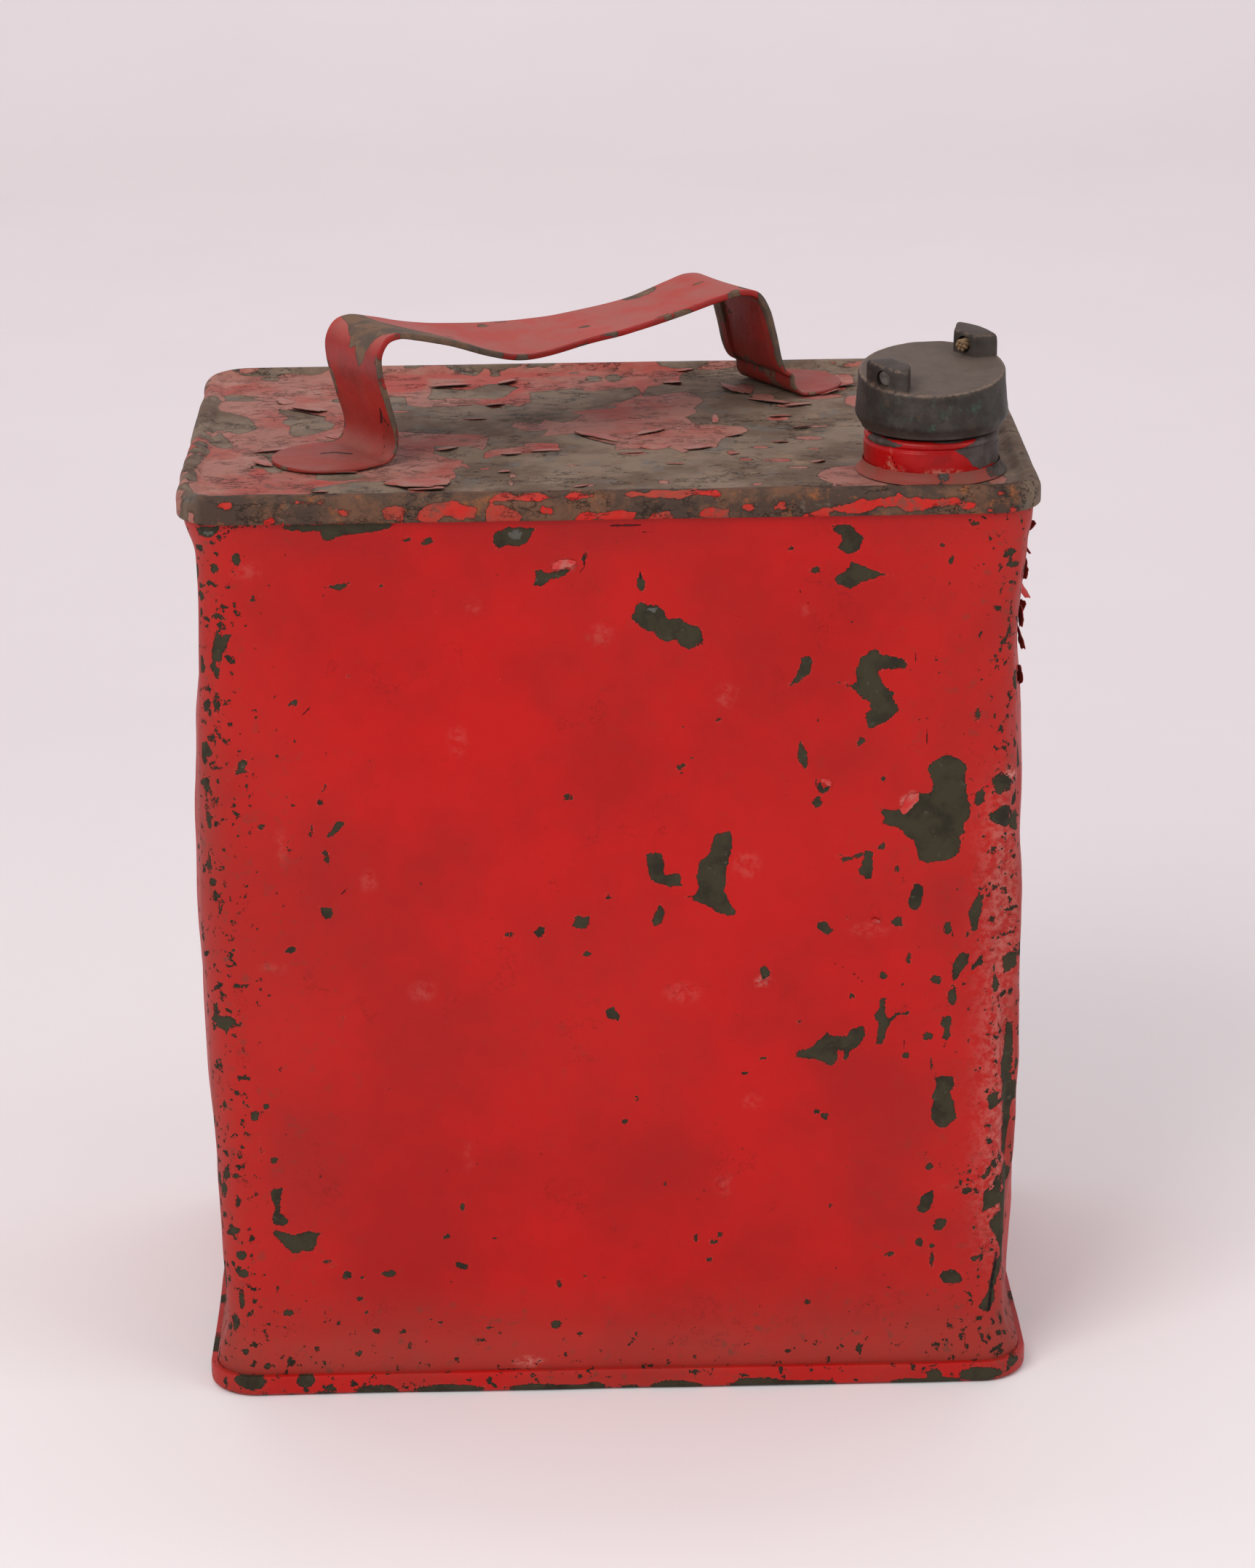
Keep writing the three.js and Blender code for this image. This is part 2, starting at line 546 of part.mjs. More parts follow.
function cap() {
  const bevel = CAP_LOW + CAP_CHAMFER;
  const high = CAP_LOW + CAP_HEIGHT + 2 * LUG_RISE;
  const drum = turned([
    [0, SEAT], [WASHER_R + GAP, SEAT], [WASHER_R + GAP, CAP_LOW], [CAP_LIP_R, CAP_LOW],
    [CAP_R - 0.3, bevel - 0.5], [CAP_R, bevel + 0.4], [CAP_TOP_R, CAP_LOW + CAP_HEIGHT],
    [CAP_TOP_R, high], [0, high],
  ]);
  const body = solid(drum).intersect(underSlope(CAP_LOW + CAP_HEIGHT));
  const lugTops = underSlope(CAP_LOW + CAP_HEIGHT + LUG_RISE);
  const lugs = lug(LUG_ANGLE).add(lug(LUG_ANGLE + 180)).intersect(lugTops);
  const plug = solid(turned([
    [0, PLUG_LOW], [THREAD_ROOT - 0.6, PLUG_LOW], [THREAD_ROOT, PLUG_LOW + 0.6], [THREAD_ROOT, SEAT + 0.5],
    [0, SEAT + 0.5],
  ])).add(threadRidge(THREAD_LOW, THREAD_TURNS, 0, 0.2, 0.2));
  const bore = solid(cylinder(PLUG_BORE_R, PLUG_LOW - 1, CAP_LOW + CAP_HEIGHT - CAP_CROWN, 24));
  const frontHole = alongLugs(LUG_HOLE_R, -CAP_R - 2, -LUG_FACE + 1);
  const rearHole = alongLugs(LUG_HOLE_R, LUG_FACE - 1, CAP_R + 2);
  return geometryOf(body.add(lugs).add(plug).subtract(bore).subtract(frontHole).subtract(rearHole));
}

const washer = turned([
  [THREAD_R + GAP, WASHER_LOW], [WASHER_R, WASHER_LOW], [WASHER_R, WASHER_LOW + WASHER_THICK],
  [THREAD_R + GAP, WASHER_LOW + WASHER_THICK],
]);

const stub = alongLugs(STUB_R, LUG_FACE - STUB_PROUD, LUG_FACE - STUB_PROUD + STUB_LENGTH);

add("cap", cap(), blackBrass, NECK_X, NECK_Y, TOP_PLATE_Z);
add("cap_washer", washer, rubber, NECK_X, NECK_Y, TOP_PLATE_Z);
add("seal_stub", geometryOf(stub), cord, NECK_X, NECK_Y, TOP_PLATE_Z);

export default group;
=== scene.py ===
import math

import bmesh
import bpy
import numpy as np
from mathutils import Matrix, Vector


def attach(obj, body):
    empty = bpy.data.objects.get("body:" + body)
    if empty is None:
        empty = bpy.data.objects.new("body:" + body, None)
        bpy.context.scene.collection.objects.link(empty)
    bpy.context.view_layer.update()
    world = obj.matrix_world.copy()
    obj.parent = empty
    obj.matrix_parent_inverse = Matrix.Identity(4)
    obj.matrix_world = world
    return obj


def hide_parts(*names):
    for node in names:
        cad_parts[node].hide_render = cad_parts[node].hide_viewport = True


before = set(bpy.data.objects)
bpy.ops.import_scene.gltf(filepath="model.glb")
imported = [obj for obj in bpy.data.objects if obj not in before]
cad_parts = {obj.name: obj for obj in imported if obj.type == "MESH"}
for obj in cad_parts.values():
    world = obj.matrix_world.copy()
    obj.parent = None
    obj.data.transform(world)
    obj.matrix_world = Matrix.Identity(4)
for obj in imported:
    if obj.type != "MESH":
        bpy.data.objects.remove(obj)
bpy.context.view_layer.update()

# ---- Sizes, in millimetres; every mesh is built in them and scaled to metres at the end ----------
WIDTH, DEPTH, HEIGHT, CORNER_R = 250.0, 166.0, 282.0, 15.0
GAP, SHEET, SKIRT = 0.3, 0.7, 1.9
RIM_LAND, TOP_RIM_R, BASE_RIM_R = 7.6, 3.6, 1.6
PLATE_Z, PLATE_UNDER = 280.0, 279.2
SLEEVE_LOW, SLEEVE_HIGH = 1.5, 278.6
NECK = np.array([94.3, -53.0])
NECK_R, NECK_MOUTH, COLLAR_R = 19.7, 292.5, 17.5
PITCH, THREAD_R, THREAD_DEPTH = 3.175, 16.0, 1.4
SEAT, CAP_LOW, PLUG_LOW, THREAD_LOW = 294.7, 293.4, 283.3, 284.7
CAP_TOP, SLOPE, SLOPE_AT = 310.0, math.tan(math.radians(9)), math.radians(-100)
LUG_RISE, LUG_R, LUG_FACE = 6.6, 21.2, 13.6
FRONT_LUG, REAR_LUG = math.radians(223), math.radians(43)
DRILL_R = 2.4
CAP_R, CAP_EDGE_R, CAP_SIDE_LOW = 22.2, 21.4, 299.0
# How far the front reaches from its middle, and the mean radius of the sleeve's corners
FRONT_HALF, SLEEVE_CORNER = 122.0, 11.0
# The chips on the front are laid out as they look from this far away and a little above
FRONT_WALL, VIEW_LEFT, VIEW_FAR, VIEW_RISE = 80.5, 23.0, 1255.0, 0.489


# ---- Number helpers ------------------------------------------------------------------------------
def smooth(low, high, x):
    """0 below low, 1 above high, and a smooth step between."""
    t = np.clip((np.asarray(x, float) - low) / (high - low), 0, 1)
    return t * t * (3 - 2 * t)


def lattice(ix, iy, iz, seed):
    """A fixed scatter of values from -1 to 1 on whole-number points."""
    h = (ix * 374761393 + iy * 668265263 + iz * 1440662683 + seed * 974634777) & 0xFFFFFFFF
    h = ((h ^ (h >> 13)) * 1274126177) & 0xFFFFFFFF
    h = h ^ (h >> 16)
    return (h & 0xFFFF) / 32767.5 - 1


def noise(p, size, seed):
    """Smooth noise from -1 to 1 at points p, with lumps about size across."""
    q = np.asarray(p, float) / size + 1000
    i = np.floor(q).astype(np.int64)
    f = q - i
    f = f * f * f * (f * (f * 6 - 15) + 10)
    total = 0
    for a in (0, 1):
        for b in (0, 1):
            for c in (0, 1):
                w = (
                    (f[:, 0] if a else 1 - f[:, 0]) * (f[:, 1] if b else 1 - f[:, 1])
                    * (f[:, 2] if c else 1 - f[:, 2])
                )
                total = total + w * lattice(i[:, 0] + a, i[:, 1] + b, i[:, 2] + c, seed)
    return total


def fbm(p, size, seed, octaves=3):
    """Noise with finer and weaker noise added, octaves times."""
    return sum(noise(p, size / 2**k, seed + k) / 2**k for k in range(octaves))


def shape_distance(x, y, shape):
    """Distance inside (positive) or outside (negative) an oval (x, y, rx, ry) or an outline (x, y, ...)."""
    if len(shape) == 4:
        cx, cy, rx, ry = shape
        return (1 - np.hypot((x - cx) / rx, (y - cy) / ry)) * min(rx, ry)
    pts = np.array(shape, float).reshape(-1, 2)
    best = np.full(x.shape, 1e9)
    inside = np.zeros(x.shape, bool)
    for (ax, ay), (bx, by) in zip(pts, np.roll(pts, -1, 0)):
        dx, dy = bx - ax, by - ay
        t = np.clip(((x - ax) * dx + (y - ay) * dy) / max(dx * dx + dy * dy, 1e-9), 0, 1)
        best = np.minimum(best, np.hypot(x - ax - t * dx, y - ay - t * dy))
        if dy:
            inside ^= ((ay > y) != (by > y)) & (x < dx * (y - ay) / dy + ax)
    return np.where(inside, best, -best)


def shapes_field(x, y, shapes, reach=5.0):
    """The highest of the shapes' distances at each point, no lower than -reach."""
    out = np.full(x.shape, -reach)
    for s in shapes:
        a = np.array(s, float).reshape(-1, 2)
        lo, hi = (a[0] - a[1], a[0] + a[1]) if len(a) == 2 else (a.min(0), a.max(0))
        near = (x > lo[0] - reach) & (x < hi[0] + reach) & (y > lo[1] - reach) & (y < hi[1] + reach)
        if near.any():
            out[near] = np.maximum(out[near], shape_distance(x[near], y[near], s))
    return out


def lines_field(x, y, lines, reach=5.0):
    """Half width less distance for lines given as (half width, x, y, x, y, ...)."""
    out = np.full(x.shape, -reach)
    for r, *flat in lines:
        pts = np.array(flat, float).reshape(-1, 2)
        for (ax, ay), (bx, by) in zip(pts[:-1], pts[1:]):
            near = (
                (x > min(ax, bx) - reach) & (x < max(ax, bx) + reach) & (y > min(ay, by) - reach)
                & (y < max(ay, by) + reach)
            )
            px, py = x[near], y[near]
            dx, dy = bx - ax, by - ay
            t = np.clip(((px - ax) * dx + (py - ay) * dy) / (dx * dx + dy * dy), 0, 1)
            out[near] = np.maximum(out[near], r - np.hypot(px - ax - t * dx, py - ay - t * dy))
    return out


def rounded(points, radius, steps=4, closed=False):
    """A 2D line with its corners rounded off."""
    pts = np.array(points, float)
    n = len(pts)
    out = [] if closed else [pts[0]]
    for i in range(n) if closed else range(1, n - 1):
        a, b, c = pts[i - 1], pts[i], pts[(i + 1) % n]
        la, lc = np.linalg.norm(a - b), np.linalg.norm(c - b)
        p = b + (a - b) / la * min(radius, la * 0.45)
        q = b + (c - b) / lc * min(radius, lc * 0.45)
        for k in range(steps + 1):
            t = k / steps
            out.append((1 - t) ** 2 * p + 2 * t * (1 - t) * b + t * t * q)
    if not closed:
        out.append(pts[-1])
    return np.array(out)


def dense(points, step, closed=False):
    """The same line with points no further apart than step."""
    pts = np.array(points, float)
    if closed:
        pts = np.vstack([pts, pts[:1]])
    out = []
    for a, b in zip(pts[:-1], pts[1:]):
        n = max(1, int(math.ceil(np.linalg.norm(b - a) / step)))
        out += [a + (b - a) * k / n for k in range(n)]
    if not closed:
        out.append(pts[-1])
    return np.array(out)


# ---- Mesh helpers --------------------------------------------------------------------------------
def grid_quads(rows, columns, start=0, wrap_columns=False, wrap_rows=False):
    r = np.arange(rows if wrap_rows else rows - 1)[:, None]
    c = np.arange(columns if wrap_columns else columns - 1)[None, :]
    r2, c2 = (r + 1) % rows, (c + 1) % columns
    q = np.stack([r * columns + c, r * columns + c2, r2 * columns + c2, r2 * columns + c], -1)
    return q.reshape(-1, 4) + start


def make(name, verts, faces, material, body, nodes=(), slot=None, angle=50, attributes=None):
    """A mesh object from points in mm, riding on a body and standing for CAD nodes."""
    mesh = bpy.data.meshes.new(name)
    mesh.from_pydata((np.asarray(verts) * 0.001).tolist(), [], faces)
    mesh.validate()
    o = bpy.data.objects.new(name, mesh)
    bpy.context.scene.collection.objects.link(o)
    outward(o)
    mesh.polygons.foreach_set("use_smooth", [True] * len(mesh.polygons))
    mesh.set_sharp_from_angle(angle=math.radians(angle))
    mesh.materials.append(material)
    for key, values in (attributes or {}).items():
        put(o, key, values)
    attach(o, body)
    if nodes:
        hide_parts(*nodes)
    return o


def outward(o):
    """Turn every face to look outward."""
    b = bmesh.new()
    b.from_mesh(o.data)
    bmesh.ops.recalc_face_normals(b, faces=b.faces)
    b.to_mesh(o.data)
    b.free()


def put(o, key, values):
    """Store one value for each point, for the shaders."""
    layer = o.data.attributes.new(key, "FLOAT", "POINT")
    layer.data.foreach_set("value", np.asarray(values, np.float32))


def points_of(o):
    co = np.zeros(len(o.data.vertices) * 3)
    o.data.vertices.foreach_get("co", co)
    return co.reshape(-1, 3) * 1000


def loft(rings, closed_loop=False):
    """Points and faces through rings shaped (rings, around, 3). Both ends get a fan, unless it is a loop."""
    rings = np.asarray(rings)
    rows, cols = rings.shape[:2]
    verts = rings.reshape(-1, 3)
    faces = grid_quads(rows, cols, 0, True, closed_loop).tolist()
    if closed_loop:
        return verts, faces
    for row, flip in ((0, True), (rows - 1, False)):
        verts = np.vstack([verts, rings[row].mean(0)])
        c = len(verts) - 1
        for i in range(cols):
            a, b = row * cols + i, row * cols + (i + 1) % cols
            faces.append([c, b, a] if flip else [c, a, b])
    return verts, faces


def turned(profile, steps, centre=NECK):
    """A lathe body from (radius, height) pairs."""
    pts = np.asarray(profile, float)
    a = np.linspace(0, 2 * np.pi, steps, endpoint=False)
    x, y = centre[0] + pts[:, :1] * np.cos(a), centre[1] + pts[:, :1] * np.sin(a)
    return np.stack([x, y, np.repeat(pts[:, 1:], steps, 1)], -1)


def join_parts(parts):
    """Several (points, faces) as one."""
    verts, faces, start = [], [], 0
    for v, f in parts:
        verts.append(np.asarray(v))
        faces += [[i + start for i in face] for face in f]
        start += len(v)
    return np.vstack(verts), faces


# ---- Shader helper -------------------------------------------------------------------------------
def srgb(r, g, b):
    return tuple(
        x / 12.92 if x <= 0.04045 else ((x + 0.055) / 1.055) ** 2.4 for x in (r / 255, g / 255, b / 255)
    )


class Shade:
    """A Principled material built up from small pieces. Lengths are in mm."""

    def __init__(self, name):
        self.material = bpy.data.materials.new(name)
        self.material.use_nodes = True
        self.tree = self.material.node_tree
        self.tree.nodes.clear()
        self.out = self.add("ShaderNodeOutputMaterial")
        self.bsdf = self.add("ShaderNodeBsdfPrincipled")
        self.tree.links.new(self.bsdf.outputs[0], self.out.inputs[0])
        self.place = self.add("ShaderNodeTexCoord").outputs["Object"]

    def add(self, kind):
        return self.tree.nodes.new(kind)

    def feed(self, socket, value):
        if isinstance(value, bpy.types.NodeSocket):
            self.tree.links.new(value, socket)
        elif isinstance(value, tuple) and len(socket.default_value) == 4:
            socket.default_value = (*value[:3], 1)
        else:
            socket.default_value = value

    def math(self, kind, a, b=0.0, c=0.0, clamp=False):
        n = self.add("ShaderNodeMath")
        n.operation = kind
        n.use_clamp = clamp
        for i, v in enumerate((a, b, c)):
            self.feed(n.inputs[i], v)
        return n.outputs[0]

    def total(self, first, *rest):
        for r in rest:
            first = self.math("ADD", first, r)
        return first

    def times(self, first, *rest):
        for r in rest:
            first = self.math("MULTIPLY", first, r)
        return first

    def attr(self, name):
        n = self.add("ShaderNodeAttribute")
        n.attribute_name = name
        return n.outputs["Fac"]

    def noise(self, size, detail=3.0, rough=0.55, stretch=None, shift=0.0, distortion=0.0):
        n = self.add("ShaderNodeTexNoise")
        n.inputs["Scale"].default_value = 1.0
        n.inputs["Detail"].default_value = detail
        n.inputs["Roughness"].default_value = rough
        n.inputs["Distortion"].default_value = distortion
        m = self.add("ShaderNodeMapping")
        self.feed(m.inputs["Vector"], self.place)
        k = 1000 / size
        sx, sy, sz = stretch or (1, 1, 1)
        m.inputs["Scale"].default_value = (k / sx, k / sy, k / sz)
        m.inputs["Location"].default_value = (shift, shift * 1.7, shift * 0.6)
        self.feed(n.inputs["Vector"], m.outputs[0])
        return n.outputs["Fac"]

    def step(self, value, low, high):
        n = self.add("ShaderNodeMapRange")
        n.interpolation_type = "SMOOTHSTEP"
        self.feed(n.inputs["Value"], value)
        n.inputs["From Min"].default_value = low
        n.inputs["From Max"].default_value = high
        return n.outputs["Result"]

    def spots(self, low, high, size, *noise, share=None, **more):
        """Patches of noise: 0 below low, 1 (or share) above high."""
        patches = self.step(self.noise(size, *noise, **more), low, high)
        return patches if share is None else self.times(patches, share)

    def inverse(self, value):
        return self.math("SUBTRACT", 1.0, value)

    def worn_edge(self, ragged, reach, grain, grain_reach):
        """How far inside bare metal a point is, with a ragged and grainy edge."""
        fine = self.lerp(self.noise(grain, 3, 0.6, shift=3), -grain_reach, grain_reach)
        return self.total(self.attr("bare"), self.lerp(ragged, -reach, reach), fine)

    def gap_shadows(self, size, narrow, widen, low, high):
        """A mask of cracks and gaps with a wandering edge, darkened by the callers as painted shadow."""
        wander = self.lerp(self.noise(size, 4, 0.6, shift=21), narrow, widen)
        return self.step(self.total(self.attr("gap_shadow"), wander), low, high)

    def lerp(self, value, low, high):
        n = self.add("ShaderNodeMapRange")
        self.feed(n.inputs["Value"], value)
        n.inputs["To Min"].default_value = low
        n.inputs["To Max"].default_value = high
        return n.outputs["Result"]

    def mix(self, share, a, b):
        n = self.add("ShaderNodeMix")
        n.data_type = "RGBA"
        self.feed(n.inputs[0], share)
        self.feed(n.inputs[6], a)
        self.feed(n.inputs[7], b)
        return n.outputs[2]

    def darken(self, colour, share, amount):
        """colour with its brightness lowered by amount where share is 1."""
        n = self.add("ShaderNodeMix")
        n.data_type = "RGBA"
        n.blend_type = "MULTIPLY"
        self.feed(n.inputs[0], share)
        self.feed(n.inputs[6], colour)
        n.inputs[7].default_value = (1 - amount, 1 - amount, 1 - amount, 1)
        return n.outputs[2]

    def finish(self, colour, roughness, height, metallic=0.0, specular=0.5):
        """height is in mm."""
        bump = self.add("ShaderNodeBump")
        bump.inputs["Strength"].default_value = 1.0
        bump.inputs["Distance"].default_value = 0.001
        self.feed(bump.inputs["Height"], height)
        self.tree.links.new(bump.outputs[0], self.bsdf.inputs["Normal"])
        self.feed(self.bsdf.inputs["Base Color"], colour)
        self.feed(self.bsdf.inputs["Roughness"], roughness)
        self.feed(self.bsdf.inputs["Metallic"], metallic)
        self.feed(self.bsdf.inputs["Specular IOR Level"], specular)
        return self.material


# Colours
RED, RED_DEEP, RED_DUST_AND_SHEEN = srgb(188, 10, 6), srgb(166, 12, 9), srgb(140, 52, 42)
PINK, PINK_PALE, PINK_RED = srgb(158, 106, 94), srgb(172, 126, 112), srgb(160, 74, 64)
OLIVE, OLIVE_DARK, OLIVE_GREY = srgb(56, 50, 33), srgb(38, 33, 21), srgb(88, 84, 70)
METAL, METAL_DARK, METAL_TAN = srgb(130, 110, 94), srgb(100, 80, 66), srgb(150, 122, 94)
METAL_GREY = srgb(104, 98, 92)
RUST, RUST_DARK, RUST_ORANGE = srgb(106, 74, 56), srgb(72, 56, 47), srgb(140, 82, 46)


def sleeve_material():
    s = Shade("red_enamel")
    ragged = s.noise(1.7, 7, 0.74)
    fine = s.noise(0.6, 3, 0.6, shift=3)
    chip = s.total(s.attr("chip"), s.lerp(ragged, -1.45, 1.25), s.lerp(fine, -0.55, 0.55))
    specks = s.total(s.noise(3.1, 5, 0.62, shift=9), s.times(s.attr("wear"), 0.13))
    speck = s.step(specks, 0.715, 0.73)
    bare = s.math("MAXIMUM", s.step(chip, -0.05, 0.06), speck)
    crack = s.step(s.total(s.attr("crack"), s.lerp(s.noise(1.3, 4, 0.6, shift=21), -0.42, 0.42)), 0.1, 0.28)
    # paint
    broad = s.noise(46, 4, 0.6)
    paint = s.mix(s.step(broad, 0.35, 0.7), RED, RED_DEEP)
    paint = s.mix(s.spots(0.5, 0.8, 13, 5, 0.65, shift=5, share=0.35), paint, RED_DEEP)
    # The stored dust also carries a painted sheen on the sleeve's rounded corners, laid on in the same colour
    dust = s.math("MULTIPLY", s.attr("dust"), s.lerp(s.noise(24, 6, 0.7, shift=2), 0.3, 1.5), clamp=True)
    paint = s.mix(dust, paint, RED_DUST_AND_SHEEN)
    # Pale scuffs, together with a painted highlight down the right corner, mixed in one pale colour
    scuff_and_highlight = s.math("MULTIPLY", s.attr("pale"), s.spots(0.4, 0.62, 2.4, 5, 0.7, shift=14), clamp=True)
    paint = s.mix(s.times(scuff_and_highlight, 0.85), paint, srgb(206, 138, 126))
    fleck = s.spots(0.69, 0.74, 5.5, 7, 0.75, shift=31)
    paint = s.mix(s.times(fleck, 0.5), paint, srgb(190, 92, 80))
    hair = s.math("ABSOLUTE", s.math("SUBTRACT", s.noise(15, 7, 0.7, shift=71), 0.5))
    hair = s.times(s.inverse(s.step(hair, 0.0015, 0.006)), s.spots(0.56, 0.66, 26, 2, 0.5, shift=76))
    paint = s.darken(paint, hair, 0.5)
    grime = s.spots(0.62, 0.72, 8, 8, 0.8, shift=17)
    paint = s.darken(paint, s.times(grime, 0.5), 0.35)
    rusty = s.times(s.spots(0.56, 0.66, 4.4, 7, 0.72, shift=51), s.step(s.attr("dust"), -0.12, 0.5))
    paint = s.mix(s.times(rusty, 0.62), paint, srgb(98, 54, 40))
    near = s.math("MULTIPLY", s.step(chip, -0.32, -0.06), s.step(ragged, 0.45, 0.6))
    paint = s.mix(s.times(near, 0.55), paint, srgb(205, 70, 58))
    # primer
    primer = s.mix(s.spots(0.42, 0.68, 7, 5, 0.6, shift=6), OLIVE, OLIVE_DARK)
    primer = s.mix(s.spots(0.6, 0.72, 2.6, 4, 0.7, shift=12, share=0.55), primer, OLIVE_GREY)
    # Painted shadow: bare primer is darkened close to the paint's edge, as if shaded by the raised paint
    primer = s.darken(primer, s.inverse(s.step(chip, 0.03, 0.4)), 0.42)
    grey = s.step(s.total(s.attr("metal"), s.lerp(ragged, -2.6, 1.6)), 0.3, 0.6)
    primer = s.mix(s.times(grey, 0.8), primer, srgb(92, 92, 86))
    colour = s.mix(bare, paint, primer)
    colour = s.darken(colour, crack, 0.86)
    rough = s.total(s.lerp(dust, 0.38, 0.62), s.times(bare, 0.28))
    height = s.total(
        s.times(bare, -0.2),
        s.times(crack, -0.35),
        s.times(s.noise(1.1, 3, 0.6, shift=40), 0.035),
        s.times(s.noise(9, 4, 0.6, shift=41), 0.22),
        s.times(s.noise(30, 3, 0.5, shift=43), 0.9),
    )
    return s.finish(colour, rough, height, specular=0.24)


def plate_material():
    s = Shade("weathered_top")
    ragged = s.noise(2.6, 7, 0.68)
    bare_d = s.worn_edge(ragged, 1.3, 0.7, 0.2)
    bare = s.step(bare_d, -0.07, 0.07)
    gap_shadow = s.gap_shadows(1.6, -0.9, 0.5, 0.05, 0.4)
    rim = s.attr("rim")
    # paint that is left
    broad = s.noise(30, 5, 0.6)
    paint = s.mix(s.step(broad, 0.4, 0.66), PINK, PINK_RED)
    paint = s.mix(s.spots(0.5, 0.7, 17, 5, 0.65, shift=5, share=0.7), paint, PINK_PALE)
    paint = s.mix(
        s.step(rim, 0.3, 0.9), paint, s.mix(s.step(broad, 0.45, 0.6), srgb(190, 34, 26), srgb(160, 60, 46))
    )
    paint = s.mix(s.times(s.attr("fresh"), 0.6), paint, srgb(170, 46, 38))
    crust = s.times(s.spots(0.5, 0.62, 9, 8, 0.8, shift=58), s.inverse(s.attr("fresh")))
    paint = s.mix(s.times(crust, 0.75), paint, srgb(104, 68, 56))
    paint = s.darken(paint, s.spots(0.56, 0.7, 4, 7, 0.75, shift=17), 0.34)
    # bare sheet
    metal = s.mix(s.spots(0.38, 0.62, 22, 5, 0.62, shift=6), METAL, METAL_DARK)
    metal = s.mix(s.spots(0.52, 0.66, 9, 6, 0.7, shift=12, share=0.75), metal, METAL_GREY)
    metal = s.mix(s.spots(0.6, 0.75, 12, 5, 0.7, shift=19, share=0.8), metal, METAL_TAN)
    rusty = s.mix(s.spots(0.42, 0.6, 14, 6, 0.7, shift=28), RUST_DARK, RUST)
    rusty = s.mix(s.spots(0.56, 0.68, 6, 6, 0.75, shift=33, share=0.9), rusty, RUST_ORANGE)
    rusty = s.mix(s.spots(0.58, 0.7, 3.4, 6, 0.75, shift=37, share=0.6), rusty, srgb(112, 96, 84))
    metal = s.mix(s.step(rim, 0.25, 0.85), metal, rusty)
    residue = s.spots(0.6, 0.66, 3.2, 8, 0.8, shift=45)
    metal = s.mix(s.times(residue, 0.6), metal, srgb(150, 78, 66))
    metal = s.darken(metal, s.spots(0.55, 0.75, 1.6, 6, 0.75, shift=52), 0.3)
    # Painted shadow: bare metal is darkened close to the paint's edge, as if shaded by the raised paint
    metal = s.darken(metal, s.inverse(s.step(bare_d, 0.05, 0.6)), 0.35)
    colour = s.mix(bare, paint, metal)
    scale = s.math("ABSOLUTE", s.math("SUBTRACT", s.noise(13, 7, 0.72, stretch=(1.6, 0.8, 1), shift=61), 0.5))
    scale = s.times(s.inverse(s.step(scale, 0.003, 0.013)), s.spots(0.46, 0.58, 16, 3, 0.5, shift=66))
    colour = s.darken(colour, scale, 0.55)
    # Painted shadow in the cracks where the paint's edges lift
    colour = s.darken(colour, gap_shadow, 0.72)
    rough = s.total(0.62, s.times(bare, 0.12), s.times(s.noise(3, 4), 0.1))
    height = s.total(
        s.times(bare, -0.3),
        s.times(scale, -0.35),
        s.times(gap_shadow, -0.5),
        s.times(s.noise(1.4, 6, 0.7, shift=40), 0.2),
        s.times(s.noise(8, 5, 0.65, shift=41), 0.6),
    )
    return s.finish(colour, rough, height, specular=0.22)


def handle_material():
    s = Shade("worn_strap")
    ragged = s.noise(2.2, 6, 0.66)
    bare_d = s.worn_edge(ragged, 0.9, 0.6, 0.15)
    bare = s.step(bare_d, -0.06, 0.06)
    gap_shadow = s.gap_shadows(1.3, -0.4, 0.4, 0.1, 0.3)
    paint = s.mix(s.spots(0.4, 0.65, 16, 5, 0.6), srgb(166, 18, 13), srgb(132, 22, 16))
    dusty = s.mix(s.spots(0.4, 0.65, 12, 5, 0.6, shift=4), srgb(168, 84, 75), srgb(176, 64, 54))
    dust = s.math("ADD", s.attr("dust"), s.lerp(s.noise(7, 6, 0.7, shift=8), -0.25, 0.25), clamp=True)
    paint = s.mix(dust, paint, dusty)
    # Painted shade: the strap's underside and low legs are darkened toward brown
    paint = s.mix(
        s.times(s.attr("painted_shade"), s.lerp(s.noise(5, 6, 0.7, shift=18), 0.3, 1.0)), paint, srgb(96, 50, 40)
    )
    paint = s.darken(paint, s.spots(0.6, 0.75, 3.5, 7, 0.75, shift=17), 0.3)
    metal = s.mix(s.spots(0.4, 0.62, 9, 5, 0.62, shift=6), srgb(112, 84, 64), srgb(84, 70, 60))
    metal = s.mix(s.spots(0.55, 0.7, 5, 6, 0.7, shift=12, share=0.7), metal, srgb(140, 104, 76))
    # Painted shadow: bare metal is darkened close to the paint's edge, as if shaded by the raised paint
    metal = s.darken(metal, s.inverse(s.step(bare_d, 0.05, 0.5)), 0.3)
    # Painted shadow in the cracks and under lifted paint edges
    colour = s.darken(s.mix(bare, paint, metal), gap_shadow, 0.88)
    rough = s.total(s.lerp(dust, 0.38, 0.66), s.times(bare, 0.2))
    height = s.total(s.times(bare, -0.22), s.times(gap_shadow, -0.4), s.times(s.noise(1.2, 5, 0.7, shift=40), 0.07),
                     s.times(s.noise(7, 4, 0.6, shift=41), 0.25))
    return s.finish(colour, rough, height, specular=0.35)


